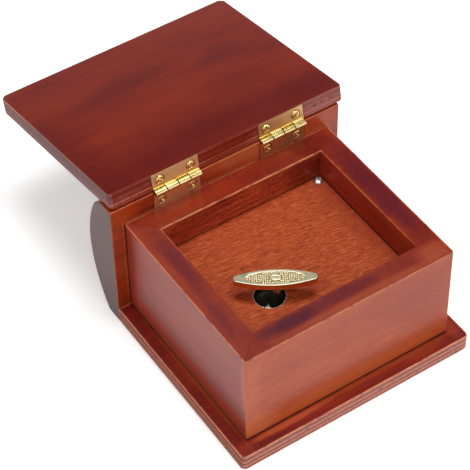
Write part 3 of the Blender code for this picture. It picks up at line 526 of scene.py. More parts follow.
# base board: the back cover
baseBoard = {
    # the arrises carry worn stain and a painted highlight
    "corner": 1.6, "arris": 0.7, "worn": {"reach": 0.5, "amount": 1.0, "tint": (255, 172, 124)},
    "stain": {"light": (164, 56, 28), "mid": (142, 36, 20), "dark": (104, 22, 24), "streaks": 0.45,
              "blotch": 0.50, "pores": 0.40, "seed": 11.0, "gloss": 0.32,
              "dull": ((1, 0, 0), baseLow.x + 0.1, 0.34, 1.0)},
    "ply": {"glue": (134, 42, 18), "veneer": (192, 108, 84), "core": (214, 132, 102), "dot": (104, 40, 26)},
    "layers": ((0.0, "glue"), (0.1, "glue"), (0.2, "veneer"), (0.29, "core"), (0.38, "glue"), (0.45, "glue"),
               (0.53, "core"), (0.64, "veneer"), (0.71, "glue"), (0.79, "glue"), (0.86, "veneer"),
               (1.0, "core")),
    "marks": [((-53.4, 0, 7.6), (1.8, 60, 2), (110, 24, 20), 0.5),
              ((-49.6, -6, 7.6), (1.2, 50, 2), (184, 80, 36), 0.6),
              ((-10, -45.0, 7.6), (60, 1.0, 2), (120, 26, 16), 0.5),
              ((6, -40.8, 7.6), (50, 1.6, 2), (184, 80, 34), 0.6),
              ((-30, -41.4, 7.6), (24, 1.9, 2), (208, 98, 56), 0.8),
              ((-42, -44.4, 7.6), (13, 1.6, 2), (92, 14, 24), 0.6),
              ((35, -42, 7.6), (12, 3, 2), (172, 70, 34), 0.5),
              ((51, -38, 7.6), (4, 8, 2), (170, 66, 36), 0.5)]}


def makeBase():
    corner = baseBoard["corner"]
    mesh = prism(roundedRectangle(baseLow, baseHigh, {"a": corner, "b": corner}), baseLow.z, baseHigh.z)

    def free(a, b):
        behind = abs(a.y - b.y) < same and a.y > 0
        return levelled(a, b) and not behind
    ease(mesh, free, baseBoard["arris"])
    wood = stainedWood("baseWood", baseBoard["stain"], alongX,
                       [glueLineAndFootShade, plyEdge(0.0, baseBoard, baseHigh.z), spots(baseBoard["marks"]),
                        boxEdges(baseLow, baseHigh, baseBoard["worn"])])
    newPiece("baseBoard", mesh, wood, "box", stands=["base_board"])


def glueLineAndFootShade(paint, p, body):
    # a dark glue line where the walls stand on the base board, and painted shade on the base top close beside the
    # walls
    x, y, z = paint.parts(p)
    above = z.ramp(baseHigh.z - 0.9, baseHigh.z - 0.4)
    away = (frontHigh.x - x.size()).least(y - frontLow.y) * -1
    ragged = paint.noise(p, 0.5, 3.0, 0.6, 4.0)
    line = 1 - (away - ragged * 0.5).ramp(0.0, 0.35)
    # painted shade: the base top darkens within 2 mm of the walls' foot
    soft = (1 - away.ramp(0.0, 2.0)) * ragged
    return paint.mix(line * above * 0.9, paint.mix(soft * above * 0.7, body, footShadeTint), glueLine)


# hinges; their sizes stand before the boards, whose pockets need them
hinges = {"length": 21.8, "shift": 1.3, "spacing": 25.3, "leaf": 0.5, "sunk": 0.3, "pin": 1.1, "barrel": 1.15,
          "knuckles": 4, "gap": 0.46, "roll": 1.46, "sweep": 0.55, "notch": 0.14, "width": 8.9,
          "lidReach": 8.5, "screwX": 7.2, "screwReach": 5.2, "head": 3.7, "room": 0.12, "sideRoom": 0.34,
          "leafArris": 0.09, "tuck": 0.02, "tail": 0.9, "pinArris": 0.15, "seatRoom": 0.28, "seatSlope": 0.42,
          "seatDepth": 0.9, "knuckleEnd": ((0.10, 0.0), (0.03, 0.03), (0.0, 0.10))}
hingeX = (hinges["shift"] - hinges["spacing"], hinges["shift"] + hinges["spacing"])


def hingeRoom(piece, face, bottom, top, barrelPlace, pocketPlace=None):
    # pockets for a board's two leaves, and hollows for the barrels about their pins
    half, barrelHalf = (hinges["length"] / 2 + hinges[room] for room in ("sideRoom", "room"))
    radius = hinges["roll"] + hinges["room"]
    for x in hingeX:
        deep = face + hinges["sunk"] + hinges["room"]
        carve(piece, block((x - half, face - 1, bottom), (x + half, deep, top)), pocketPlace)
        near, far = x - barrelHalf, x + barrelHalf
        carve(piece, turned([(0, near), (radius, near), (radius, far), (0, far)], 32, "X"), barrelPlace)


# spine block
spine = {
    "bulge": 19.2, "radius": 57.0, "centre": 34.1, "shoulder": 9.7, "toe": 1.5, "arris": 0.5,
    "endArris": 0.42, "endGrain": (44, 18, 20),
    "stain": {"light": (192, 78, 26), "mid": (172, 58, 18), "dark": (96, 24, 18), "streaks": 0.20,
              "blotch": 0.50, "pores": 0.42, "seed": 23.0, "dull": ((1, 0, 0), spineLow.x + 0.2, 0.85, 1.0)},
    # marks: lighter patches along the top of the face, under the lid: painted light against the lid's shadow on
    # the left, painted sheen in the middle, and a lighter patch on the right
    "marks": [((-50, 46, 60), (9, 2, 8), (190, 70, 20), 0.6),
              ((10, 46, 62), (24, 2, 6), (208, 110, 70), 0.55),
              ((42, 46, 60), (14, 2, 8), (190, 84, 50), 0.4)]}
spineMidY = spineLow.y + spine["bulge"] - spine["radius"]


def spineOutline():
    radius, centre, shoulder = spine["radius"], spine["centre"], spine["shoulder"]
    toe, arris = spine["toe"], spine["arris"]
    shoulderZ = spineHigh.z - shoulder
    shoulderY = spineMidY + math.sqrt((radius - shoulder) ** 2 - (shoulderZ - centre) ** 2)
    toeY = spineMidY + math.sqrt((radius - toe) ** 2 - (toe - centre) ** 2)
    high = math.degrees(math.atan2(shoulderZ - centre, shoulderY - spineMidY))
    low = math.degrees(math.atan2(toe - centre, toeY - spineMidY))
    points = arc(spineLow.y + arris, arris, arris, 180, 270, 4)
    points += arc(toeY, toe, toe, 270, 360 + low, 6)
    points += arc(spineMidY, centre, radius, low, high, 56)[1:]
    points += arc(shoulderY, shoulderZ, shoulder, high, 90, 18)[1:]
    points += arc(spineLow.y + arris, spineHigh.z - arris, arris, 90, 180, 4)
    return points


def spineEdges(paint, p, body):
    x, y, z = paint.parts(p)
    end = spineHigh.x - x.size()
    back = spine["radius"] - (y - spineMidY).distance(z - spine["centre"])
    flat = y - spineLow.y
    body = paint.mix((1 - end.ramp(0.02, 0.25)) * 0.8, body, spine["endGrain"])
    # glue line round the page block, and an orange edge of thin stain beside it
    beside = (x.size() + leftLow.x).most(z - frontHigh.z)
    face = 1 - flat.ramp(0.2, 0.6)
    body = paint.mix((1 - (beside - 0.55).size().ramp(0.3, 0.8)) * face * 0.35, body, rubbed)
    body = paint.mix((1 - beside.ramp(0.10, 0.40)) * face * 0.6, body, glueLine)
    return arrisWearAndHighlight(paint, p, middle(end, back.least(flat), (spineHigh.z - z).least(z)), body, 0.8, 0.5)


def makeSpine():
    outline = spineOutline()
    e = spine["endArris"]
    rings = [(e * (1 - math.sin(t)), spineLow.x + e * (1 - math.cos(t)))
             for t in (math.radians(i * 22.5) for i in range(5))]
    rings += [(inset, spineLow.x + spineHigh.x - x) for inset, x in rings[::-1]]
    mesh = bmesh.new()
    loft(mesh, [[(x, y, z) for y, z in shrink(outline, inset)] for inset, x in rings])
    wood = stainedWood("spineWood", spine["stain"], alongX, [spots(spine["marks"]), spineEdges])
    piece = newPiece("spineBlock", mesh, wood, "box", stands=["spine_block"])
    hingeRoom(piece, spineLow.y, hingePoint.z - hinges["width"] - hinges["room"], spineHigh.z + 1, hingePlace)


# lid board: the front cover, drawn flat and open behind its hinge, then tipped by lidTurn
lidBoard = {
    "corners": {"a": 1.6, "b": 0.8, "c": 1.6, "d": 1.6}, "arris": 0.7,
    "low": Vector((-54.2, 0.85, 1.5)), "high": Vector((56.8, 91.45, 8.9)),  # corners, from the hinge's pin
    "worn": {"reach": 0.7, "amount": 0.2, "tint": rubbed},
    "stain": {"light": (146, 44, 24), "mid": (132, 34, 16), "dark": (92, 14, 18), "streaks": 0.20,
              "blotch": 0.32, "pores": 0.24, "seed": 37.0, "gloss": 0.19,
              "dull": ((1, 0, 0), -54.15, 0.55, 1.0)},
    "ply": {"glue": (138, 52, 40), "veneer": (172, 90, 76), "core": (212, 124, 108), "dot": (104, 26, 22)},
    "layers": ((0.0, "veneer"), (0.12, "glue"), (0.18, "glue"), (0.25, "core"), (0.32, "glue"),
               (0.42, "glue"), (0.58, "veneer"), (0.7, "glue"), (0.8, "glue"), (0.9, "core"), (1.0, "core")),
    "marks": [((0, -4, 8.9), (130, 36, 6), (98, 12, 8), 0.6),
              ((-58, 30, 8.9), (22, 52, 6), (96, 12, 10), 0.45),
              ((2, 14, 8.9), (22, 8, 6), (88, 8, 12), 0.35), ((44, 12, 8.9), (18, 8, 6), (90, 10, 16), 0.3),
              ((34, 57, 8.9), (14, 8, 6), (84, 16, 22), 0.32),
              ((-8, 64, 8.9), (24, 7, 6), (90, 16, 20), 0.24),
              ((-30, 60, 8.9), (14, 6, 6), (90, 16, 20), 0.2),
              ((-4, 40, 8.9), (22, 7, 6), (152, 44, 18), 0.25),
              ((26, 32, 8.9), (20, 12, 6), (98, 14, 12), 0.25),
              ((-34, 36, 8.9), (16, 6, 6), (152, 44, 18), 0.35),
              ((-54.2, 46, 5), (1.0, 60, 5), (84, 24, 24), 0.45),
              ((46, 0.8, 5), (14, 0.8, 4), (206, 104, 84), 0.25),
              ((0, 0.8, 5), (16, 0.8, 5), (128, 26, 4), 0.7),
              ((43.3, 0.8, 5.2), (1.5, 1, 0.9), (84, 20, 22), 0.8),
              ((46.9, 0.8, 5.3), (1.2, 1, 0.8), (84, 20, 22), 0.7),
              ((51.4, 0.8, 5.4), (1.6, 1, 0.8), (84, 20, 22), 0.7)]}


def makeLid():
    low, high = lidBoard["low"], lidBoard["high"]
    mesh = prism(roundedRectangle(low, high, lidBoard["corners"]), low.z, high.z)
    ease(mesh, levelled, lidBoard["arris"])
    slope = lidTurn.to_3x3()
    wood = stainedWood("lidWood", lidBoard["stain"], [slope @ Vector(axis) for axis in alongX],
                       [plyEdge(low.z, lidBoard, high.z - low.z, lidTurn), spots(lidBoard["marks"], lidTurn),
                        boxEdges(low, high, lidBoard["worn"], lidTurn)])
    piece = newPiece("lidBoard", mesh, wood, "lid", place=lidTurn, stands=["lid_board"])
    hingeRoom(piece, low.y, low.z - 1, hinges["lidReach"] + hinges["room"], lidTurn, lidTurn)


# page block: four mitred walls whose upper faces were stained in one go
pageBlock = {
    "arris": 0.45, "corner": 0.9, "mitre": 0.002, "innerWorn": (244, 160, 108),
    # the walls' outer arrises carry worn stain and a painted highlight
    "worn": {"reach": 0.7, "amount": 0.8, "tint": (230, 140, 94)},
    "rim": {"light": (156, 56, 30), "mid": (134, 40, 24), "dark": (104, 24, 26)},
    "rimMarks": [((-42.2, 16, 55), (4.4, 20, 3), (92, 22, 38), 0.65),
                 ((-45, -14, 55), (4, 18, 3), (92, 22, 38), 0.45),
                 ((44.6, 6, 55), (6.6, 38, 3), (90, 22, 36), 0.72),
                 ((43.6, -12, 55), (5, 14, 3), (92, 22, 38), 0.3),
                 ((-24, -32.6, 55), (17, 4.6, 3), (78, 18, 38), 0.9),
                 ((0, -32.0, 55), (24, 3.6, 3), (92, 22, 38), 0.6),
                 ((-12, 40, 55), (34, 4.4, 3), (146, 44, 14), 0.8),
                 ((18, 42, 55), (16, 3.4, 3), (146, 44, 14), 0.6),
                 ((37, 40.6, 55), (12, 7, 3), (96, 16, 8), 0.6),
                 ((12, 40.6, 55), (16, 5, 3), (112, 22, 10), 0.5),
                 ((-40, 41, 55), (7, 6, 3), (140, 46, 20), 0.6),
                 ((-47.5, 6, 55), (2.6, 44, 3), (158, 60, 32), 0.5),
                 ((10, -37.4, 55), (52, 2.4, 3), (172, 78, 50), 0.6),
                 ((43, -34, 55), (9, 6, 3), (180, 80, 50), 0.55)]}
walls = {
    "frontWall": {
        "node": "front_wall", "axes": alongX, "light": (206, 98, 44), "mid": (185, 73, 31),
        "dark": (146, 50, 38), "streaks": 0.16, "blotch": 0.34, "pores": 0.46, "seed": 41.0, "gloss": 0.34,
        "marks": [((0, -39, 11), (60, 3, 6), (214, 108, 50), 0.5),
                  ((-44, -39, 13), (12, 3, 9), (224, 126, 76), 0.5),
                  ((36, -39, 36), (22, 3, 20), (158, 54, 34), 0.55),
                  # the last mark is a painted highlight down the front-left corner
                  ((-47, -39, 36), (6, 3, 26), (224, 126, 74), 0.22)]},
    "backWall": {
        "node": "back_wall", "axes": alongX, "light": (204, 92, 50), "mid": (172, 64, 38),
        "dark": (96, 24, 18), "streaks": 0.50, "blotch": 0.35, "pores": 0.80, "seed": 43.0,
        "dull": ((0, 1, 0), backLow.y + 0.1, 0.3, 0.72),
        "marks": [((32, 35.4, 48), (14, 3, 12), (84, 16, 12), 0.55),
                  ((-30, 35.4, 47), (14, 3, 10), (150, 50, 22), 0.4)]},
    "leftWall": {
        "node": "left_wall", "axes": alongY, "light": (192, 72, 36), "mid": (176, 58, 32),
        "dark": (120, 26, 26), "streaks": 0.14, "blotch": 0.30, "pores": 0.24, "seed": 47.0, "gloss": 0.36,
        "marks": [((-49, -20, 48), (3, 26, 10), (196, 78, 44), 0.4),
                  # the next two bands paint the wall's reflection darker and duller towards its foot
                  ((-49, 0, 21), (3, 70, 8), (118, 42, 38), 0.4),
                  ((-49, 0, 7), (3, 70, 7), (148, 82, 62), 0.65),
                  ((-49, 44, 30), (3, 5, 40), (130, 34, 18), 0.5),
                  # the last mark is a painted highlight down the front corner
                  ((-49, -38.5, 40), (3, 3, 22), (218, 128, 100), 0.4)]},
    "rightWall": {
        "node": "right_wall", "axes": alongY, "light": (192, 80, 50), "mid": (174, 64, 42),
        "dark": (118, 30, 24), "streaks": 0.16, "blotch": 0.40, "pores": 0.20, "seed": 53.0,
        "dull": ((1, 0, 0), rightLow.x + 0.1, 0.3, 1.0),
        "marks": [((38.4, -10, 45), (3, 30, 5), (156, 44, 22), 0.5)]}}


def wallOutlines():
    # each wall from mitre to mitre, with half of a rounded corner at both ends
    inX, outX = -leftHigh.x, -leftLow.x
    off, r = pageBlock["mitre"], pageBlock["corner"]

    def corner(sx, sy, flat):
        cx, cy = sx * (outX - r), (frontLow.y + r) if sy < 0 else (backHigh.y - r)
        return arc(cx, cy, r, flat, math.degrees(math.atan2(sy, sx)), 5)

    def moved(points, dx, dy):
        return [(x + dx, y + dy) for x, y in points]
    inFront, inBack = frontHigh.y, backLow.y
    return {
        "frontWall": (moved(corner(-1, -1, -90)[::-1], off, 0) + moved(corner(1, -1, -90), -off, 0)
                      + [(inX - off, inFront), (-inX + off, inFront)]),
        "backWall": (moved(corner(1, 1, 90)[::-1], -off, 0) + moved(corner(-1, 1, 90), off, 0)
                     + [(-inX + off, inBack), (inX - off, inBack)]),
        "leftWall": (moved(corner(-1, -1, -180)[::-1], 0, off) + moved(corner(-1, 1, 180), 0, -off)
                     + [(-inX, inBack - off), (-inX, inFront + off)]),
        "rightWall": (moved(corner(1, -1, 0)[::-1], 0, off) + moved(corner(1, 1, 0), 0, -off)
                      + [(inX, inBack - off), (inX, inFront + off)])}


def makePageBlock():
    low, high = frontLow.z, frontHigh.z

    def rim(a, b):
        if abs(a.z - high) > same or abs(b.z - high) > same:
            return False
        mitred = abs(abs(a.x - b.x) - abs(a.y - b.y)) < same and abs(a.x - b.x) > 2 * pageBlock["corner"]
        return not mitred
    # the base board hides the walls' lower arrises, so the box for the worn and highlighted arrises reaches below
    # them
    whole = (Vector((leftLow.x, frontLow.y, low - 4)), Vector((-leftLow.x, backHigh.y, high)))
    for name, outline in wallOutlines().items():
        wall = walls[name]
        mesh = prism(outline, low, high)
        ease(mesh, rim, pageBlock["arris"])
        changes = [spots(wall["marks"]), rimTone, wallFoot, boxEdges(*whole, pageBlock["worn"]), innerRim]
        wood = stainedWood(name + "Wood", wall, wall["axes"], changes)
        newPiece(name, mesh, wood, "box", stands=[wall["node"]])


def rimTone(paint, p, body):
    rim = pageBlock["rim"]
    z = paint.along(p, (0, 0, 1))
    patch = paint.noise(p, 0.060, 3.0, 0.55, 61.0)
    brushed = paint.noise(p, 0.35, 3.0, 0.6, 62.0)
    cloud = (patch - 0.5) * 0.8 + (brushed - 0.5) * 0.35 + 0.5
    tone = paint.tones(cloud, [(0.25, rim["light"]), (0.5, rim["mid"]), (0.80, rim["dark"])])
    tone = spots(pageBlock["rimMarks"])(paint, p, tone)
    grit = paint.noise(p, 0.8, 3.0, 0.7, 63.0)
    tone = paint.mix(grit.ramp(0.5, 0.75) * 0.35, tone, rim["dark"])
    tone = paint.mix((1 - grit.ramp(0.25, 0.5)) * 0.25, tone, rim["light"])
    return paint.mix(z.ramp(frontHigh.z - 0.55, frontHigh.z - 0.2), body, tone)


def wallFoot(paint, p, body):
    foot = 1 - paint.along(p, (0, 0, 1)).ramp(frontLow.z + 0.05, frontLow.z + 0.8)
    return paint.mix(foot * 0.8, body, glueLine)


def innerRim(paint, p, body):
    # rubbed arris round the recess, worn most at the back and on the right
    x, y, z = paint.parts(p)
    gapX = x.size() + leftHigh.x
    gapY = (y - (frontHigh.y + backLow.y) / 2).size() - (backLow.y - frontHigh.y) / 2
    worn = paint.mix(y.ramp(backLow.y - 0.6, backLow.y - 0.2), rubbed, pageBlock["innerWorn"])
    handled = (x.ramp(0, 20) * y.ramp(frontHigh.y, frontHigh.y + 4)).most(y.ramp(8, 28)) * 0.67 + 0.08
    return arrisWearAndHighlight(paint, p, gapX.most(gapY).size() + (frontHigh.z - z).size(), body, 0.9, handled, worn)


# panel; its hole's centre is given from the key, its dark dot in the box's own place
panel = {
    "hole": 6.5, "holeX": -2.3, "holeY": 0.4, "dotX": -17.5, "dotY": 9.9, "room": 0.45, "lean": -9,
    "steps": 96,
    "light": (200, 96, 46), "mid": (172, 70, 28), "dark": (142, 46, 18), "band": (158, 58, 24),
    "pore": (114, 32, 12), "pale": (214, 118, 64), "dot": (122, 26, 12), "raw": (214, 186, 164),
    "inside": (46, 22, 14),
    # marks: the first, second and fourth paint shade along the recess walls; the last two paint the key's shadow
    # on both sides of the hole
    "marks": [((-38, 36, 41.9), (20, 8, 3), (140, 48, 22), 0.6),
              ((38, 4, 41.9), (10, 50, 3), (146, 50, 20), 0.6),
              ((-34, -24, 41.9), (10, 8, 3), (190, 96, 40), 0.5),
              ((0, 36, 41.9), (60, 3, 3), (140, 46, 20), 0.5),
              ((-1, -13.5, 41.9), (8, 4, 3), (124, 26, 8), 0.45),
              ((-26, 1, 41.9), (5, 5, 3), (130, 30, 12), 0.4)]}
holeX, holeY = keyPoint.x + panel["holeX"], keyPoint.y + panel["holeY"]


def toEdge(start, step, low, high):
    # how many steps lead from start to the end of a span
    if abs(step) < same:
        return math.inf
    return ((high if step > 0 else low) - start) / step


def makePanel():
    room = Vector((panel["room"], panel["room"], 0))
    low, high = panelLow + room, panelHigh - room
    corners = [(low.x, low.y), (high.x, low.y), (high.x, high.y), (low.x, high.y)]
    steps = panel["steps"]
    angles = sorted([2 * math.pi * i / steps - math.pi for i in range(steps)]
                    + [math.atan2(y - holeY, x - holeX) for x, y in corners])
    outer, inner = [], []
    for angle in angles:
        dx, dy = math.cos(angle), math.sin(angle)
        reach = min(toEdge(holeX, dx, low.x, high.x), toEdge(holeY, dy, low.y, high.y))
        outer.append((holeX + dx * reach, holeY + dy * reach))
        inner.append((holeX + dx * panel["hole"], holeY + dy * panel["hole"]))
    mesh = bmesh.new()
    loops = [[mesh.verts.new((x, y, z)) for x, y in line]
             for line, z in ((outer, low.z), (outer, high.z), (inner, high.z), (inner, low.z))]
    for i in range(len(angles)):
        j = (i + 1) % len(angles)
        for k in range(4):
            a, b = loops[k], loops[(k + 1) % 4]
            mesh.faces.new((a[i], a[j], b[j], b[i]))
    newPiece("innerPanel", mesh, panelWood(), "box", stands=["inner_panel"])


def panelWood():
    # open-pored veneer with a dull finish, raw wood in the hole, and painted shade on the hole's wall below its
    # top
    paint = Paint("panelWood", Specular_IOR_Level=0.2, Coat_Weight=0.12, Coat_Roughness=0.4)
    p = paint.place()
    x, y, z = paint.parts(p)
    lean = math.radians(panel["lean"])
    g = paint.along(p, (math.cos(lean), math.sin(lean), 0))
    a = paint.along(p, (-math.sin(lean), math.cos(lean), 0))
    bent = a + paint.strands((g, a, 0.0), (0.03, 0.05, 0), 1.0, 0.5, 1.0) * 2.0
    band = paint.strands((g, bent, 0.0), (0.03, 0.10, 0), 3.0, 0.6, 2.0)
    strand = paint.strands((g, bent, 0.0), (0.10, 2.1, 0), 2.0, 0.6, 3.0)
    pore = paint.strands((g, bent, 0.0), (0.30, 2.6, 0), 2.0, 0.7, 4.0)
    body = paint.tones(strand, [(0.34, panel["light"]), (0.5, panel["mid"]), (0.66, panel["dark"])])
    body = paint.mix(band.ramp(0.38, 0.66) * 0.35, body, panel["band"])
    body = paint.mix(pore.ramp(0.53, 0.62) * 0.48, body, panel["pore"])
    body = paint.mix((1 - pore.ramp(0.38, 0.47)) * 0.5, body, panel["pale"])
    body = spots(panel["marks"])(paint, p, body)
    dot = 1 - (x - panel["dotX"]).distance(y - panel["dotY"]).ramp(0.35, 0.95)
    body = paint.mix(dot * 0.8, body, panel["dot"])
    rim = (x - holeX).distance(y - holeY)
    fray = paint.noise(p, 1.3, 3.0, 0.6, 8.0) * 0.8
    raw = 1 - (rim - fray).ramp(panel["hole"] - 0.45, panel["hole"] - 0.15)
    body = paint.mix(raw, body, panel["raw"])
    # painted shade: the hole's wall is painted dark below its top
    inside = 1 - rim.ramp(panel["hole"] + 0.01, panel["hole"] + 0.03)
    inside = inside * (1 - z.ramp(panelHigh.z - 0.35, panelHigh.z - 0.1))
    body = paint.mix(inside, body, panel["inside"])
    paint.set({"Base Color": body, "Roughness": 0.5 + strand * 0.2,
               "Normal": paint.bump(strand * 0.5 - pore.ramp(0.55, 0.7) * 0.6, 0.5, relief["veneer"])})
    return paint.material


# making the hinges
hingeTones = {"light": (255, 236, 172), "drawn": (224, 192, 124), "smear": (196, 140, 92),
              "right": (212, 146, 98), "left": (255, 232, 176), "ring": (92, 50, 22),
              "bright": (255, 232, 140), "knuckle": (232, 204, 136), "line": (150, 126, 66)}


def leafBrass(name, turn, side):
    # rolled brass: fine streaks along the leaf, painted shade in rings round the screws' countersinks, and a
    # painted highlight beside the barrel
    tones = hingeTones
    paint = Paint(name, Metallic=1.0)
    p = paint.place()
    x, y, z = paint.parts(p, turn)
    out = z * side
    streak = paint.strands((x, y, z), (0.16, 2.0, 2.2), 3.0, 0.7, 3.0)
    smear = paint.noise(p, 0.22, 4.0, 0.6, 4.0)
    tint = paint.mix(streak.ramp(0.38, 0.62), tones["light"], tones["drawn"])
    tint = paint.mix(smear.ramp(0.45, 0.70) * 0.4, tint, tones["smear"])
    tint = paint.mix(x.ramp(0, 12) * 0.6, tint, tones["right"])
    tint = paint.mix((1 - x.ramp(-12, 0)) * 0.8, tint, tones["left"])
    screwX = [centre + way * hinges["screwX"] for centre in hingeX for way in (-1, 1)]
    near = (x - screwX[0]).size()
    for place in screwX[1:]:
        near = near.least((x - place).size())
    away = near.distance(out - hinges["screwReach"])
    radius = hinges["head"] / 2
    # painted shade of the gap round each countersunk screw head
    ring = (1 - away.ramp(radius + 0.25, radius + 0.5)) * away.ramp(radius - 0.1, radius)
    tint = paint.mix(ring * (0.75 if side > 0 else 0.4), tint, tones["ring"])
    # painted highlight where the leaf rolls into the barrel
    bright = 1 - out.ramp(hinges["roll"] + 0.9, hinges["roll"] + 1.8)
    tint = paint.mix(bright, tint, tones["bright"])
    paint.set({"Base Color": tint, "Roughness": 0.14 + (1 - bright) * 0.20 + streak * 0.06,
               "Normal": paint.bump(streak, 0.2, relief["leaf"])})
    return paint.material


def rolledBrass():
    # a knuckle: bright, with a painted dark reflection line along it
    paint = Paint("hingeKnuckleBrass", Metallic=1.0)
    p = paint.place()
    x, y, z = paint.parts(p)
    y, z = y - hingePoint.y, z - hingePoint.z
    lean = math.radians(45)
    aside, towards = y * math.cos(lean) + z * math.sin(lean), z * math.cos(lean) - y * math.sin(lean)
    # painted reflection: a dark line between the two bright bands on the barrel
    line = (1 - aside.size().ramp(0.10, 0.32)) * towards.ramp(0.4, 0.8)
    smear = paint.noise(p, 0.3, 3.0, 0.6, 8.0)
    tint = paint.mix(smear.ramp(0.4, 0.65), hingeTones["light"], hingeTones["knuckle"])
    tint = paint.mix(line * 0.75, tint, hingeTones["line"])
    paint.set({"Base Color": tint, "Roughness": smear * 0.08 + 0.24})
    return paint.material


def knuckleOutline():
    # section of a leaf's knuckle, anticlockwise: (towards the wood, away from the pin along the leaf)
    back, roll, sweep = hinges["barrel"], hinges["roll"], hinges["sweep"]
    face, reach, tuck = back - hinges["leaf"], roll + hinges["tail"], hinges["tuck"]
    midX, midZ = face - sweep, math.sqrt((roll + sweep) ** 2 - (face - sweep) ** 2)
    touch = math.degrees(math.atan2(midZ, midX))
    start = math.degrees(math.acos((back - tuck) / roll))
    line = [(face + tuck, reach), (face + tuck, midZ)]
    line += arc(midX, midZ, sweep, 0, touch - 180, 8)[1:]
    line += arc(0, 0, roll, touch, 360 + start, 48)[1:]
    return line + [(back - tuck, reach)]


def hingeLeaf(name, x, side, end, place, paint, body, node):
    back, face = hinges["barrel"], hinges["barrel"] - hinges["leaf"]
    low, high = sorted((side * (hinges["roll"] + hinges["notch"]), side * end))
    mesh = block((x - hinges["length"] / 2, face, low), (x + hinges["length"] / 2, back, high))
    bmesh.ops.bevel(mesh, geom=list(mesh.edges), offset=hinges["leafArris"], segments=2, profile=0.5,
                    affect="EDGES")
    piece = newPiece(name, mesh, paint, body, place=place, stands=[node])
    # countersunk seats for the two screws
    wide = hinges["head"] / 2 + hinges["seatRoom"]
    narrow, deep = wide - hinges["seatSlope"], face + hinges["leaf"] * hinges["seatDepth"]
    for sx in (x - hinges["screwX"], x + hinges["screwX"]):
        seat = turned([(0, face - 1), (wide, face - 1), (wide, face + hinges["tuck"]), (narrow, deep),
                       (0, deep)], 32, "Y")
        bmesh.ops.translate(seat, vec=(sx, 0, side * hinges["screwReach"]), verts=seat.verts)
        carve(piece, seat, place)


def hingeKnuckles(name, x, side, first, place, paint, body):
    # every other knuckle of the barrel, its ends a little rounded
    step, room = hinges["length"] / hinges["knuckles"], hinges["gap"] / 2
    outline = [(a, b * side) for a, b in knuckleOutline()][::side]
    mesh = bmesh.new()
    for i in range(first, hinges["knuckles"], 2):
        start = x - hinges["length"] / 2 + i * step
        near, far = start + room, start + step - room
        ends = hinges["knuckleEnd"]
        rings = [(inset, near + z) for inset, z in ends] + [(inset, far - z) for inset, z in ends[::-1]]
        loft(mesh, [[(level, a, b) for a, b in shrink(outline, inset)] for inset, level in rings])
    newPiece(name, mesh, paint, body, place=place, sharp=40)


def makeHinges():
    knucklePaint = rolledBrass()
    pinPaint = brass("hingePinBrass", (84, 60, 34), 0.5, (40, 28, 18), 4.0)
    # body, word, way out from the pin, first knuckle, leaf's reach, place, paint
    sides = (("box", "spine", -1, 0, hinges["width"], hingePlace,
              leafBrass("hingeSpineLeafBrass", hingePlace, -1)),
             ("lid", "lid", 1, 1, hinges["lidReach"], lidTurn, leafBrass("hingeLidLeafBrass", lidTurn, 1)))
    for hand, x in zip(("left", "right"), hingeX):
        for body, word, side, first, end, place, leafPaint in sides:
            title, node = word.title() + hand.title(), "hinge_leaf_%s_%s" % (word, hand)
            hingeLeaf("hingeLeaf" + title, x, side, end, place, leafPaint, body, node)
            hingeKnuckles("hingeKnuckles" + title, x, side, first, place, knucklePaint, body)
        radius, arris = hinges["pin"] / 2, hinges["pinArris"]
        near, far = x - hinges["length"] / 2, x + hinges["length"] / 2
        pin = turned([(0, near), (radius - arris, near), (radius, near + arris),
                      (radius, far - arris), (radius - arris, far), (0, far)], 24, "X")
        newPiece("hingePin" + hand.title(), pin, pinPaint, "box", place=hingePlace,
                 stands=["hinge_pin_" + hand])


# screws: flat domes in the hinge leaves, rounded heads on the panel
# profile points are shares of the radius and of the height; the cross is (reach, width, depth)
hingeScrew = {"radius": hinges["head"] / 2, "height": 0.42, "under": 2.0, "cross": (1.4, 0.62, 0.9),
              "profile": [(math.cos(t), math.sin(t)) for t in (0.25, 0.55, 0.85, 1.15, 1.4)]}
panelScrew = {"radius": 2.15, "height": 1.6, "under": 3.0, "cross": (1.45, 0.6, 1.0),
              "profile": [(1.0, 0.30), (0.96, 0.52), (0.86, 0.74), (0.70, 0.89), (0.45, 0.97)]}


def makeScrew(name, sizes, paint, body, place, node):
    # a head with a short stump below, and two tapering grooves at right angles
    radius, height, under = sizes["radius"], sizes["height"], sizes["under"]
    stump, neck, clear = radius * 0.45, -0.3, height + 0.3
    profile = [(0, -under), (stump, -under), (stump, neck), (radius, 0.0)]
    profile += [(radius * a, height * b) for a, b in sizes["profile"]] + [(0, height)]
    piece = newPiece(name, turned(profile, 40), paint, body, place=place, stands=[node])
    reach, width, depth = sizes["cross"]
    foot, floor = reach * 0.45, height - depth
    groove = [(-reach, clear), (-reach, height), (-foot, floor),
              (foot, floor), (reach, height), (reach, clear)]
    for turn in (0, 90):
        across = place @ Matrix.Rotation(math.radians(turn), 4, "Z")
        carve(piece, prism(groove, -width / 2, width / 2, "Y"), across)


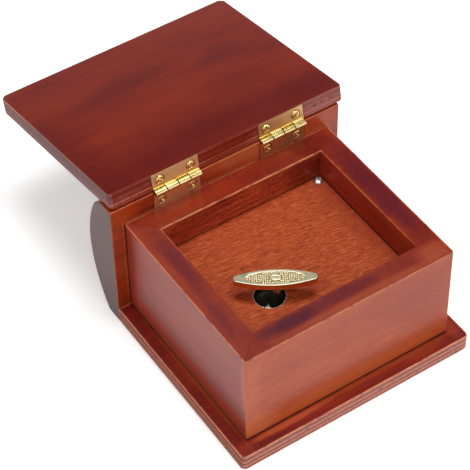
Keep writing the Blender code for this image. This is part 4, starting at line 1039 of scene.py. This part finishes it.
def makeScrews():
    brassPaint = brass("hingeScrewBrass", (244, 208, 136), 0.26, (196, 150, 86), 3.0, mark=0.5)
    random.seed(7)

    def anyTurn():
        return Matrix.Rotation(random.uniform(0, math.pi / 2), 4, "Z")
    face = hinges["barrel"] - hinges["leaf"] + hinges["tuck"]
    quarter = Matrix.Rotation(math.radians(90), 4, "X")
    for hand, x in zip(("left", "right"), hingeX):
        for body, word, side, place in (("box", "spine", -1, hingePlace), ("lid", "lid", 1, lidTurn)):
            for end, sx in (("a", x - hinges["screwX"]), ("b", x + hinges["screwX"])):
                at = place @ Matrix.Translation((sx, face, side * hinges["screwReach"])) @ quarter @ anyTurn()
                title = word.title() + hand.title() + end.upper()
                makeScrew("hingeScrew" + title, hingeScrew, brassPaint, body, at,
                          "hinge_screw_%s_%s_%s" % (word, hand, end))
    for name in ("front_left", "front_right", "back_left", "back_right"):
        low, high = span("panel_screw_" + name)
        at = Matrix.Translation(((low.x + high.x) / 2, (low.y + high.y) / 2, panelHigh.z + 0.05)) @ anyTurn()
        title = "".join(part.title() for part in name.split("_"))
        makeScrew("panelScrew" + title, panelScrew, nickelPaint, "box", at, "panel_screw_" + name)


# winding key
key = {"length": 33.0, "width": 8.6, "end": 3.8, "thick": 3.2, "turn": -31.7, "shank": 4.6,
       "fieldLength": 23.4, "fieldWidth": 7.0, "sunk": 0.34, "waffleX": 0.86, "waffleY": 1.0,
       "bossLength": 4.6, "bossWidth": 3.0, "bossFullness": 0.92, "waffleEdge": (0.75, 0.60),
       "bossRoom": (0.4, 0.3), "bore": 1.5, "footArris": 0.2,
       "top": (224, 214, 178), "topDull": (190, 186, 150), "side": (226, 176, 132), "sideLine": (92, 56, 34),
       "edge": (255, 246, 222), "well": (176, 162, 118)}
keyTurn = Matrix.Rotation(math.radians(key["turn"]), 4, "Z")
keyPlace = Matrix.Translation((keyPoint.x, keyPoint.y, 0)) @ keyTurn
bowTop = keyHigh.z
bowLow, fieldFloor = bowTop - key["thick"], bowTop - key["sunk"]
# (inset, height from the bow's underside) up its side, and (inset, height from its top) over the arris
bowFoot = ((0.60, 0.0), (0.30, 0.05), (0.09, 0.22), (0.0, 0.50))
bowArris = ((0.0, -0.40), (0.04, -0.26), (0.12, -0.18), (0.40, 0.0))
# (inset, share of the field's depth) into the sunk field
bowWell = ((0.0, 0.0), (0.26, 0.9), (0.40, 1.0))
# (outwards from the shank, height from the bow's underside) of the collar under the bow
collar = ((0.0, -1.6), (0.35, -1.1), (0.9, -0.35), (1.1, 0.05))
# above the field's floor: (share of the pitch, height) of a blunt pyramid, (inset, height) of the boss
pyramid = ((0.38, -0.05), (0.38, 0.06), (0.16, 0.20))
bossRings = ((0.0, -0.1), (0.0, 0.12), (0.12, 0.22), (0.34, 0.24), (0.50, 0.17), (0.70, 0.17), (1.0, 0.25))


def bowBrass():
    # polished sides with a dark line under the arris, a painted highlight on the arris and round the sunk field's
    # rim, a dull top and a darker sunk field
    paint = Paint("keyBowBrass", Metallic=1.0)
    p = paint.place()
    z = paint.along(p, (0, 0, 1)) - bowTop
    smear = paint.noise(p, 0.3, 4.0, 0.6, 6.0)
    above, flat = z.ramp(-0.24, -0.20), z.ramp(-0.03, -0.01)
    sunk = 1 - z.ramp(-key["sunk"], -key["sunk"] + 0.02)
    inside = paint.parts(p, Matrix.Translation(keyPoint) @ keyTurn)
    x, y = inside[0] / (key["fieldLength"] / 2 + 0.2), inside[1] / (key["fieldWidth"] / 2 + 0.2)
    field = 1 - (x * x + y * y).ramp(0.98, 1.0)
    line = z.ramp(-0.62, -0.54) * (1 - z.ramp(-0.36, -0.28))
    dull = paint.mix(smear.ramp(0.35, 0.65), key["top"], key["topDull"])
    side = paint.mix(line, key["side"], key["sideLine"])
    # painted highlight: the arris band takes the pale edge tint
    tint = paint.mix(flat, paint.mix(above, side, key["edge"]), dull)
    well = paint.mix(sunk, key["edge"], key["well"])
    paint.set({"Base Color": paint.mix(field * (1 - flat), tint, well),
               "Roughness": above.most(field) * 0.24 + 0.22})
    return paint.material


def bowOutline(inset=0.0):
    halfLength, halfWidth, halfEnd = key["length"] / 2, key["width"] / 2, key["end"] / 2
    run, rise = halfLength - halfEnd, halfWidth - halfEnd
    radius = (run * run + rise * rise) / (2 * rise)
    spread = math.degrees(math.asin(run / radius))
    r, e = radius - inset, halfEnd - inset
    points = arc(0, halfWidth - radius, r, 90 - spread, 90 + spread, 48)
    points += arc(-run, 0, e, 90 + spread, 270 - spread, 12)[1:-1]
    points += arc(0, radius - halfWidth, r, 270 - spread, 270 + spread, 48)
    points += arc(run, 0, e, 270 + spread, 450 - spread, 12)[1:-1]
    return points


def fieldOval(halfLength, halfWidth):
    # an oval with a point for each point of the bow's outline
    points = []
    for x, y in bowOutline():
        t = math.atan2(y / halfWidth, x / halfLength)
        points.append((halfLength * math.cos(t), halfWidth * math.sin(t)))
    return points


def bossOval(halfLength, halfWidth, steps=56):
    # a little fuller than an ellipse
    points = []
    for i in range(steps):
        t = 2 * math.pi * i / steps
        c, d = (math.copysign(abs(v) ** key["bossFullness"], v) for v in (math.cos(t), math.sin(t)))
        points.append((halfLength * c, halfWidth * d))
    return points


def makeBow():
    levels = [(inset, bowLow + z) for inset, z in bowFoot] + [(inset, bowTop + z) for inset, z in bowArris]
    rings = [[(x, y, z) for x, y in bowOutline(inset)] for inset, z in levels]
    a, b = key["fieldLength"] / 2, key["fieldWidth"] / 2
    rings += [[(x, y, bowTop - share * key["sunk"]) for x, y in fieldOval(a - inset, b - inset)]
              for inset, share in bowWell]
    mesh = bmesh.new()
    loft(mesh, rings)
    newPiece("keyBow", mesh, bowBrass(), "key", place=keyPlace, sharp=16, stands=["winding_key"])


def makeShank():
    radius, foot, bore, arris = key["shank"] / 2, keyLow.z, key["bore"], key["footArris"]
    profile = [(bore, foot), (radius - arris, foot), (radius, foot + arris)]
    profile += [(radius + out, bowLow + z) for out, z in collar]
    profile.append((bore, profile[-1][1]))
    newPiece("keyShank", turned(profile, 48), keyBrass, "key", place=keyPlace)


def makeWaffle(paint):
    # rows of blunt pyramids in the field, clear of its edge and of the boss
    a, b = key["fieldLength"] / 2, key["fieldWidth"] / 2
    stepX, stepY = key["waffleX"], key["waffleY"]
    edgeX, edgeY = a - key["waffleEdge"][0], b - key["waffleEdge"][1]
    bossX, bossY = key["bossLength"] / 2 + key["bossRoom"][0], key["bossWidth"] / 2 + key["bossRoom"][1]
    rows, columns = int(b / stepY) + 1, int(a / stepX) + 1
    mesh = bmesh.new()
    for row in range(-rows, rows + 1):
        for column in range(-columns, columns + 1):
            x, y = (column + 0.5) * stepX, (row + 0.5) * stepY
            if (x / edgeX) ** 2 + (y / edgeY) ** 2 > 1 or (x / bossX) ** 2 + (y / bossY) ** 2 < 1:
                continue
            loft(mesh, [[(x + sx * share * stepX, y + sy * share * stepY, fieldFloor + z)
                         for sx, sy in ((-1, -1), (1, -1), (1, 1), (-1, 1))] for share, z in pyramid])
    newPiece("keyWaffle", mesh, paint, "key", place=keyPlace, sharp=20, weighted=False)


def makeBoss(paint):
    a, b = key["bossLength"] / 2, key["bossWidth"] / 2
    mesh = bmesh.new()
    loft(mesh, [[(x, y, fieldFloor + z) for x, y in bossOval(a - inset, b - inset)] for inset, z in bossRings])
    newPiece("keyBoss", mesh, paint, "key", place=keyPlace, sharp=50)


def makeKey():
    makeBow()
    makeShank()
    # painted light: the waffle and boss take a paler copy of the key's brass, so that they look brighter than the
    # bow
    litReliefBrass = brass("keyReliefBrass", (255, 240, 204), 0.42, (236, 216, 176), 6.0)
    makeWaffle(litReliefBrass)
    makeBoss(litReliefBrass)


# splinters round the key hole; a sliver is (bearing, length, width)
splinters = {"count": 150, "size": (0.12, 0.34), "out": (-0.16, 0.12), "light": (240, 226, 208),
             "dark": (190, 156, 130),
             "slivers": ((-131, 2.4, 0.7), (-125, 1.0, 0.9), (-138, 1.0, 0.8), (-60, 0.6, 0.5),
                         (-45, 0.7, 0.4), (-150, 0.5, 0.5))}


def addShard(mesh, turn, tips, faces):
    corners = [mesh.verts.new(turn @ Vector(tip)) for tip in tips]
    for face in faces:
        mesh.faces.new([corners[i] for i in face])


def makeSplinters():
    random.seed(19)
    paint = Paint("rawSplinters", Roughness=0.9)
    shade = paint.noise(paint.place(), 2.0, 3.0, 0.6, 1.0)
    paint.set({"Base Color": paint.mix(shade, splinters["light"], splinters["dark"])})
    mesh = bmesh.new()
    hole, top = panel["hole"], panelHigh.z
    for i in range(splinters["count"]):
        angle = 2 * math.pi * (i + random.uniform(-0.4, 0.4)) / splinters["count"]
        size = random.uniform(*splinters["size"])
        out = random.uniform(*splinters["out"])
        x, y = holeX + (hole + out) * math.cos(angle), holeY + (hole + out) * math.sin(angle)
        heading = Matrix.Rotation(angle + random.uniform(-0.8, 0.8), 4, "Z")
        tilt = Matrix.Rotation(random.uniform(-0.6, 0.9), 4, "Y")
        turn = Matrix.Translation((x, y, top - 0.02)) @ heading @ tilt
        side = size * 0.32
        addShard(mesh, turn, ((-size, 0, 0), (0, -side, 0), (size * 0.9, 0, 0.02), (0, side, 0),
                              (0, 0, 0.11), (0, 0, -0.11)),
                 ((0, 1, 4), (1, 0, 5), (1, 2, 4), (2, 1, 5), (2, 3, 4), (3, 2, 5), (3, 0, 4), (0, 3, 5)))
    for bearing, length, width in splinters["slivers"]:
        # longer slivers that lean into the hole
        turn = Matrix.Rotation(math.radians(bearing), 4, "Z") @ Matrix.Translation((hole + 0.1, 0, 0))
        turn = Matrix.Translation((holeX, holeY, top)) @ turn
        addShard(mesh, turn, ((0, -width / 2, 0), (0, width / 2, 0), (-length, 0, 0.25), (0, 0, -0.3),
                              (0, 0, 0.12)),
                 ((0, 3, 2), (3, 1, 2), (1, 4, 2), (4, 0, 2), (0, 4, 1, 3)))
    newPiece("holeSplinters", mesh, paint.material, "box", weighted=False)


# finishes that the key, the screws and the movement share
keyBrass = brass("keyBrass", (226, 214, 176), 0.30, (176, 160, 124), 5.0)
nickelPaint = steel("nickelPlate", (236, 238, 240), 0.26, 1.0)


def paintMovement():
    # the movement's pieces keep their CAD shapes
    rawWood = dullPaint("rawWood", (204, 174, 130), (168, 134, 92), 0.8, (0.05, 0.5, 0.5))
    paintedHoleShade = dullPaint("paintedHoleShadePlate", (22, 26, 20), (40, 44, 36), 0.7, (0.4, 0.4, 0.4))
    finishes = {"pale_brass": keyBrass, "polished_brass": keyBrass, "nickel": nickelPaint,
                "cast_zinc": brass("castZinc", (186, 160, 104), 0.42, (120, 98, 60), 7.0),
                "spring_steel": steel("groundSteel", (150, 150, 154), 0.35, 2.0),
                "black_plastic": dullPaint("blackPlastic", (20, 20, 22), (36, 36, 38), 0.5, (0.8, 0.8, 0.8)),
                "raw_wood": rawWood, "mahogany_stain": rawWood, "panel_veneer": rawWood}
    slots = {row["node"]: row["material_slot"] for row in frame["record"]["subparts"]}
    for name, thing in frame["nodes"].items():
        # painted shade: the plate and housing under the key hole are painted near black, so that the hole looks
        # deep
        finish = paintedHoleShade if name in ("bedplate", "spring_housing") else finishes[slots[name]]
        for slot in thing.material_slots:
            slot.material = finish


# studio; sizes in metres, except that the floor turns white between two distances in millimetres
studio = {"floor": (238.61, 238.61, 238.61), "floorSize": 6.0, "floorDrop": 0.00005, "white": (400, 1600),
          "lift": 0.45, "mirrored": 0.66, "ambient": 0.14, "horizon": 0.95, "zenith": 0.03,
          "fall": (0.26, 0.44), "aim": (0, 0, 0.04)}
# place, width, height and power of each soft lamp
lamps = {"topSoft": ((0.10, 0.10, 1.35), 0.62, 0.42, 10.0), "frontSoft": ((0.46, -1.00, 0.72), 1.5, 1.1, 6.0),
         "leftSoft": ((-1.1, -0.3, 0.9), 0.8, 0.8, 2.5), "eyeSoft": ((-0.45, -0.75, 1.15), 0.7, 0.4, 2.5)}


def makeSky():
    # white to the eye; reflections fade from the horizon upwards, and little light comes from it
    world = bpy.data.worlds.new("studio")
    bpy.context.scene.world = world
    world.use_nodes = True
    world.node_tree.nodes.clear()
    sky = Wiring(world.node_tree)
    rise = sky.along(sky.node("ShaderNodeTexCoord", output="Generated"), (0, 0, 1))
    fall = studio["horizon"] - rise.ramp(*studio["fall"]) * (studio["horizon"] - studio["zenith"])
    shown, glossy = sky.rays("Is Camera Ray").most(sky.rays("Is Transmission Ray")), sky.rays("Is Glossy Ray")
    strength = shown + (1 - shown) * (glossy * fall + (1 - glossy) * studio["ambient"])
    back = sky.node("ShaderNodeBackground", None, {"Color": (255, 255, 255), "Strength": strength})
    sky.node("ShaderNodeOutputWorld", None, {"Surface": back})


def makeFloor():
    # pale floor that takes the object's shadow; to the eye and in reflections it is lifted to white
    mesh = bmesh.new()
    bmesh.ops.create_grid(mesh, x_segments=1, y_segments=1, size=studio["floorSize"])
    floor = meshObject("floor", mesh)
    floor.location.z = -studio["floorDrop"]
    finish = Paint("floorPaint", Roughness=1.0, Specular_IOR_Level=0.0, Emission_Strength=1.0)
    away = finish.vector("LENGTH", finish.place(), output="Value")
    bare = studio["lift"] + away.ramp(*studio["white"]) * (1 - studio["lift"])
    mirrored = finish.rays("Is Glossy Ray") * (studio["mirrored"] * studio["lift"])
    eye = (finish.rays("Is Camera Ray") * bare).most(mirrored)
    finish.set({"Base Color": studio["floor"], "Emission Color": finish.mix(eye, (0, 0, 0), (255, 255, 255))})
    floor.data.materials.append(finish.material)


def makeLamps():
    for name, (place, width, height, power) in lamps.items():
        light = bpy.data.lights.new(name, "AREA")
        light.shape, light.size, light.size_y, light.energy = "RECTANGLE", width, height, power
        lamp = bpy.data.objects.new(name, light)
        lamp.location = place
        lamp.rotation_euler = (Vector(studio["aim"]) - Vector(place)).to_track_quat("-Z", "Y").to_euler()
        bpy.context.scene.collection.objects.link(lamp)


print("covers and spine")
makeBase()
makeSpine()
makeLid()
print("page block and panel")
makePageBlock()
makePanel()
print("hinges and screws")
makeHinges()
makeScrews()
print("key")
makeKey()
makeSplinters()
print("movement")
paintMovement()
print("studio")
makeSky()
makeFloor()
makeLamps()
bpy.context.scene.view_settings.view_transform = "Standard"
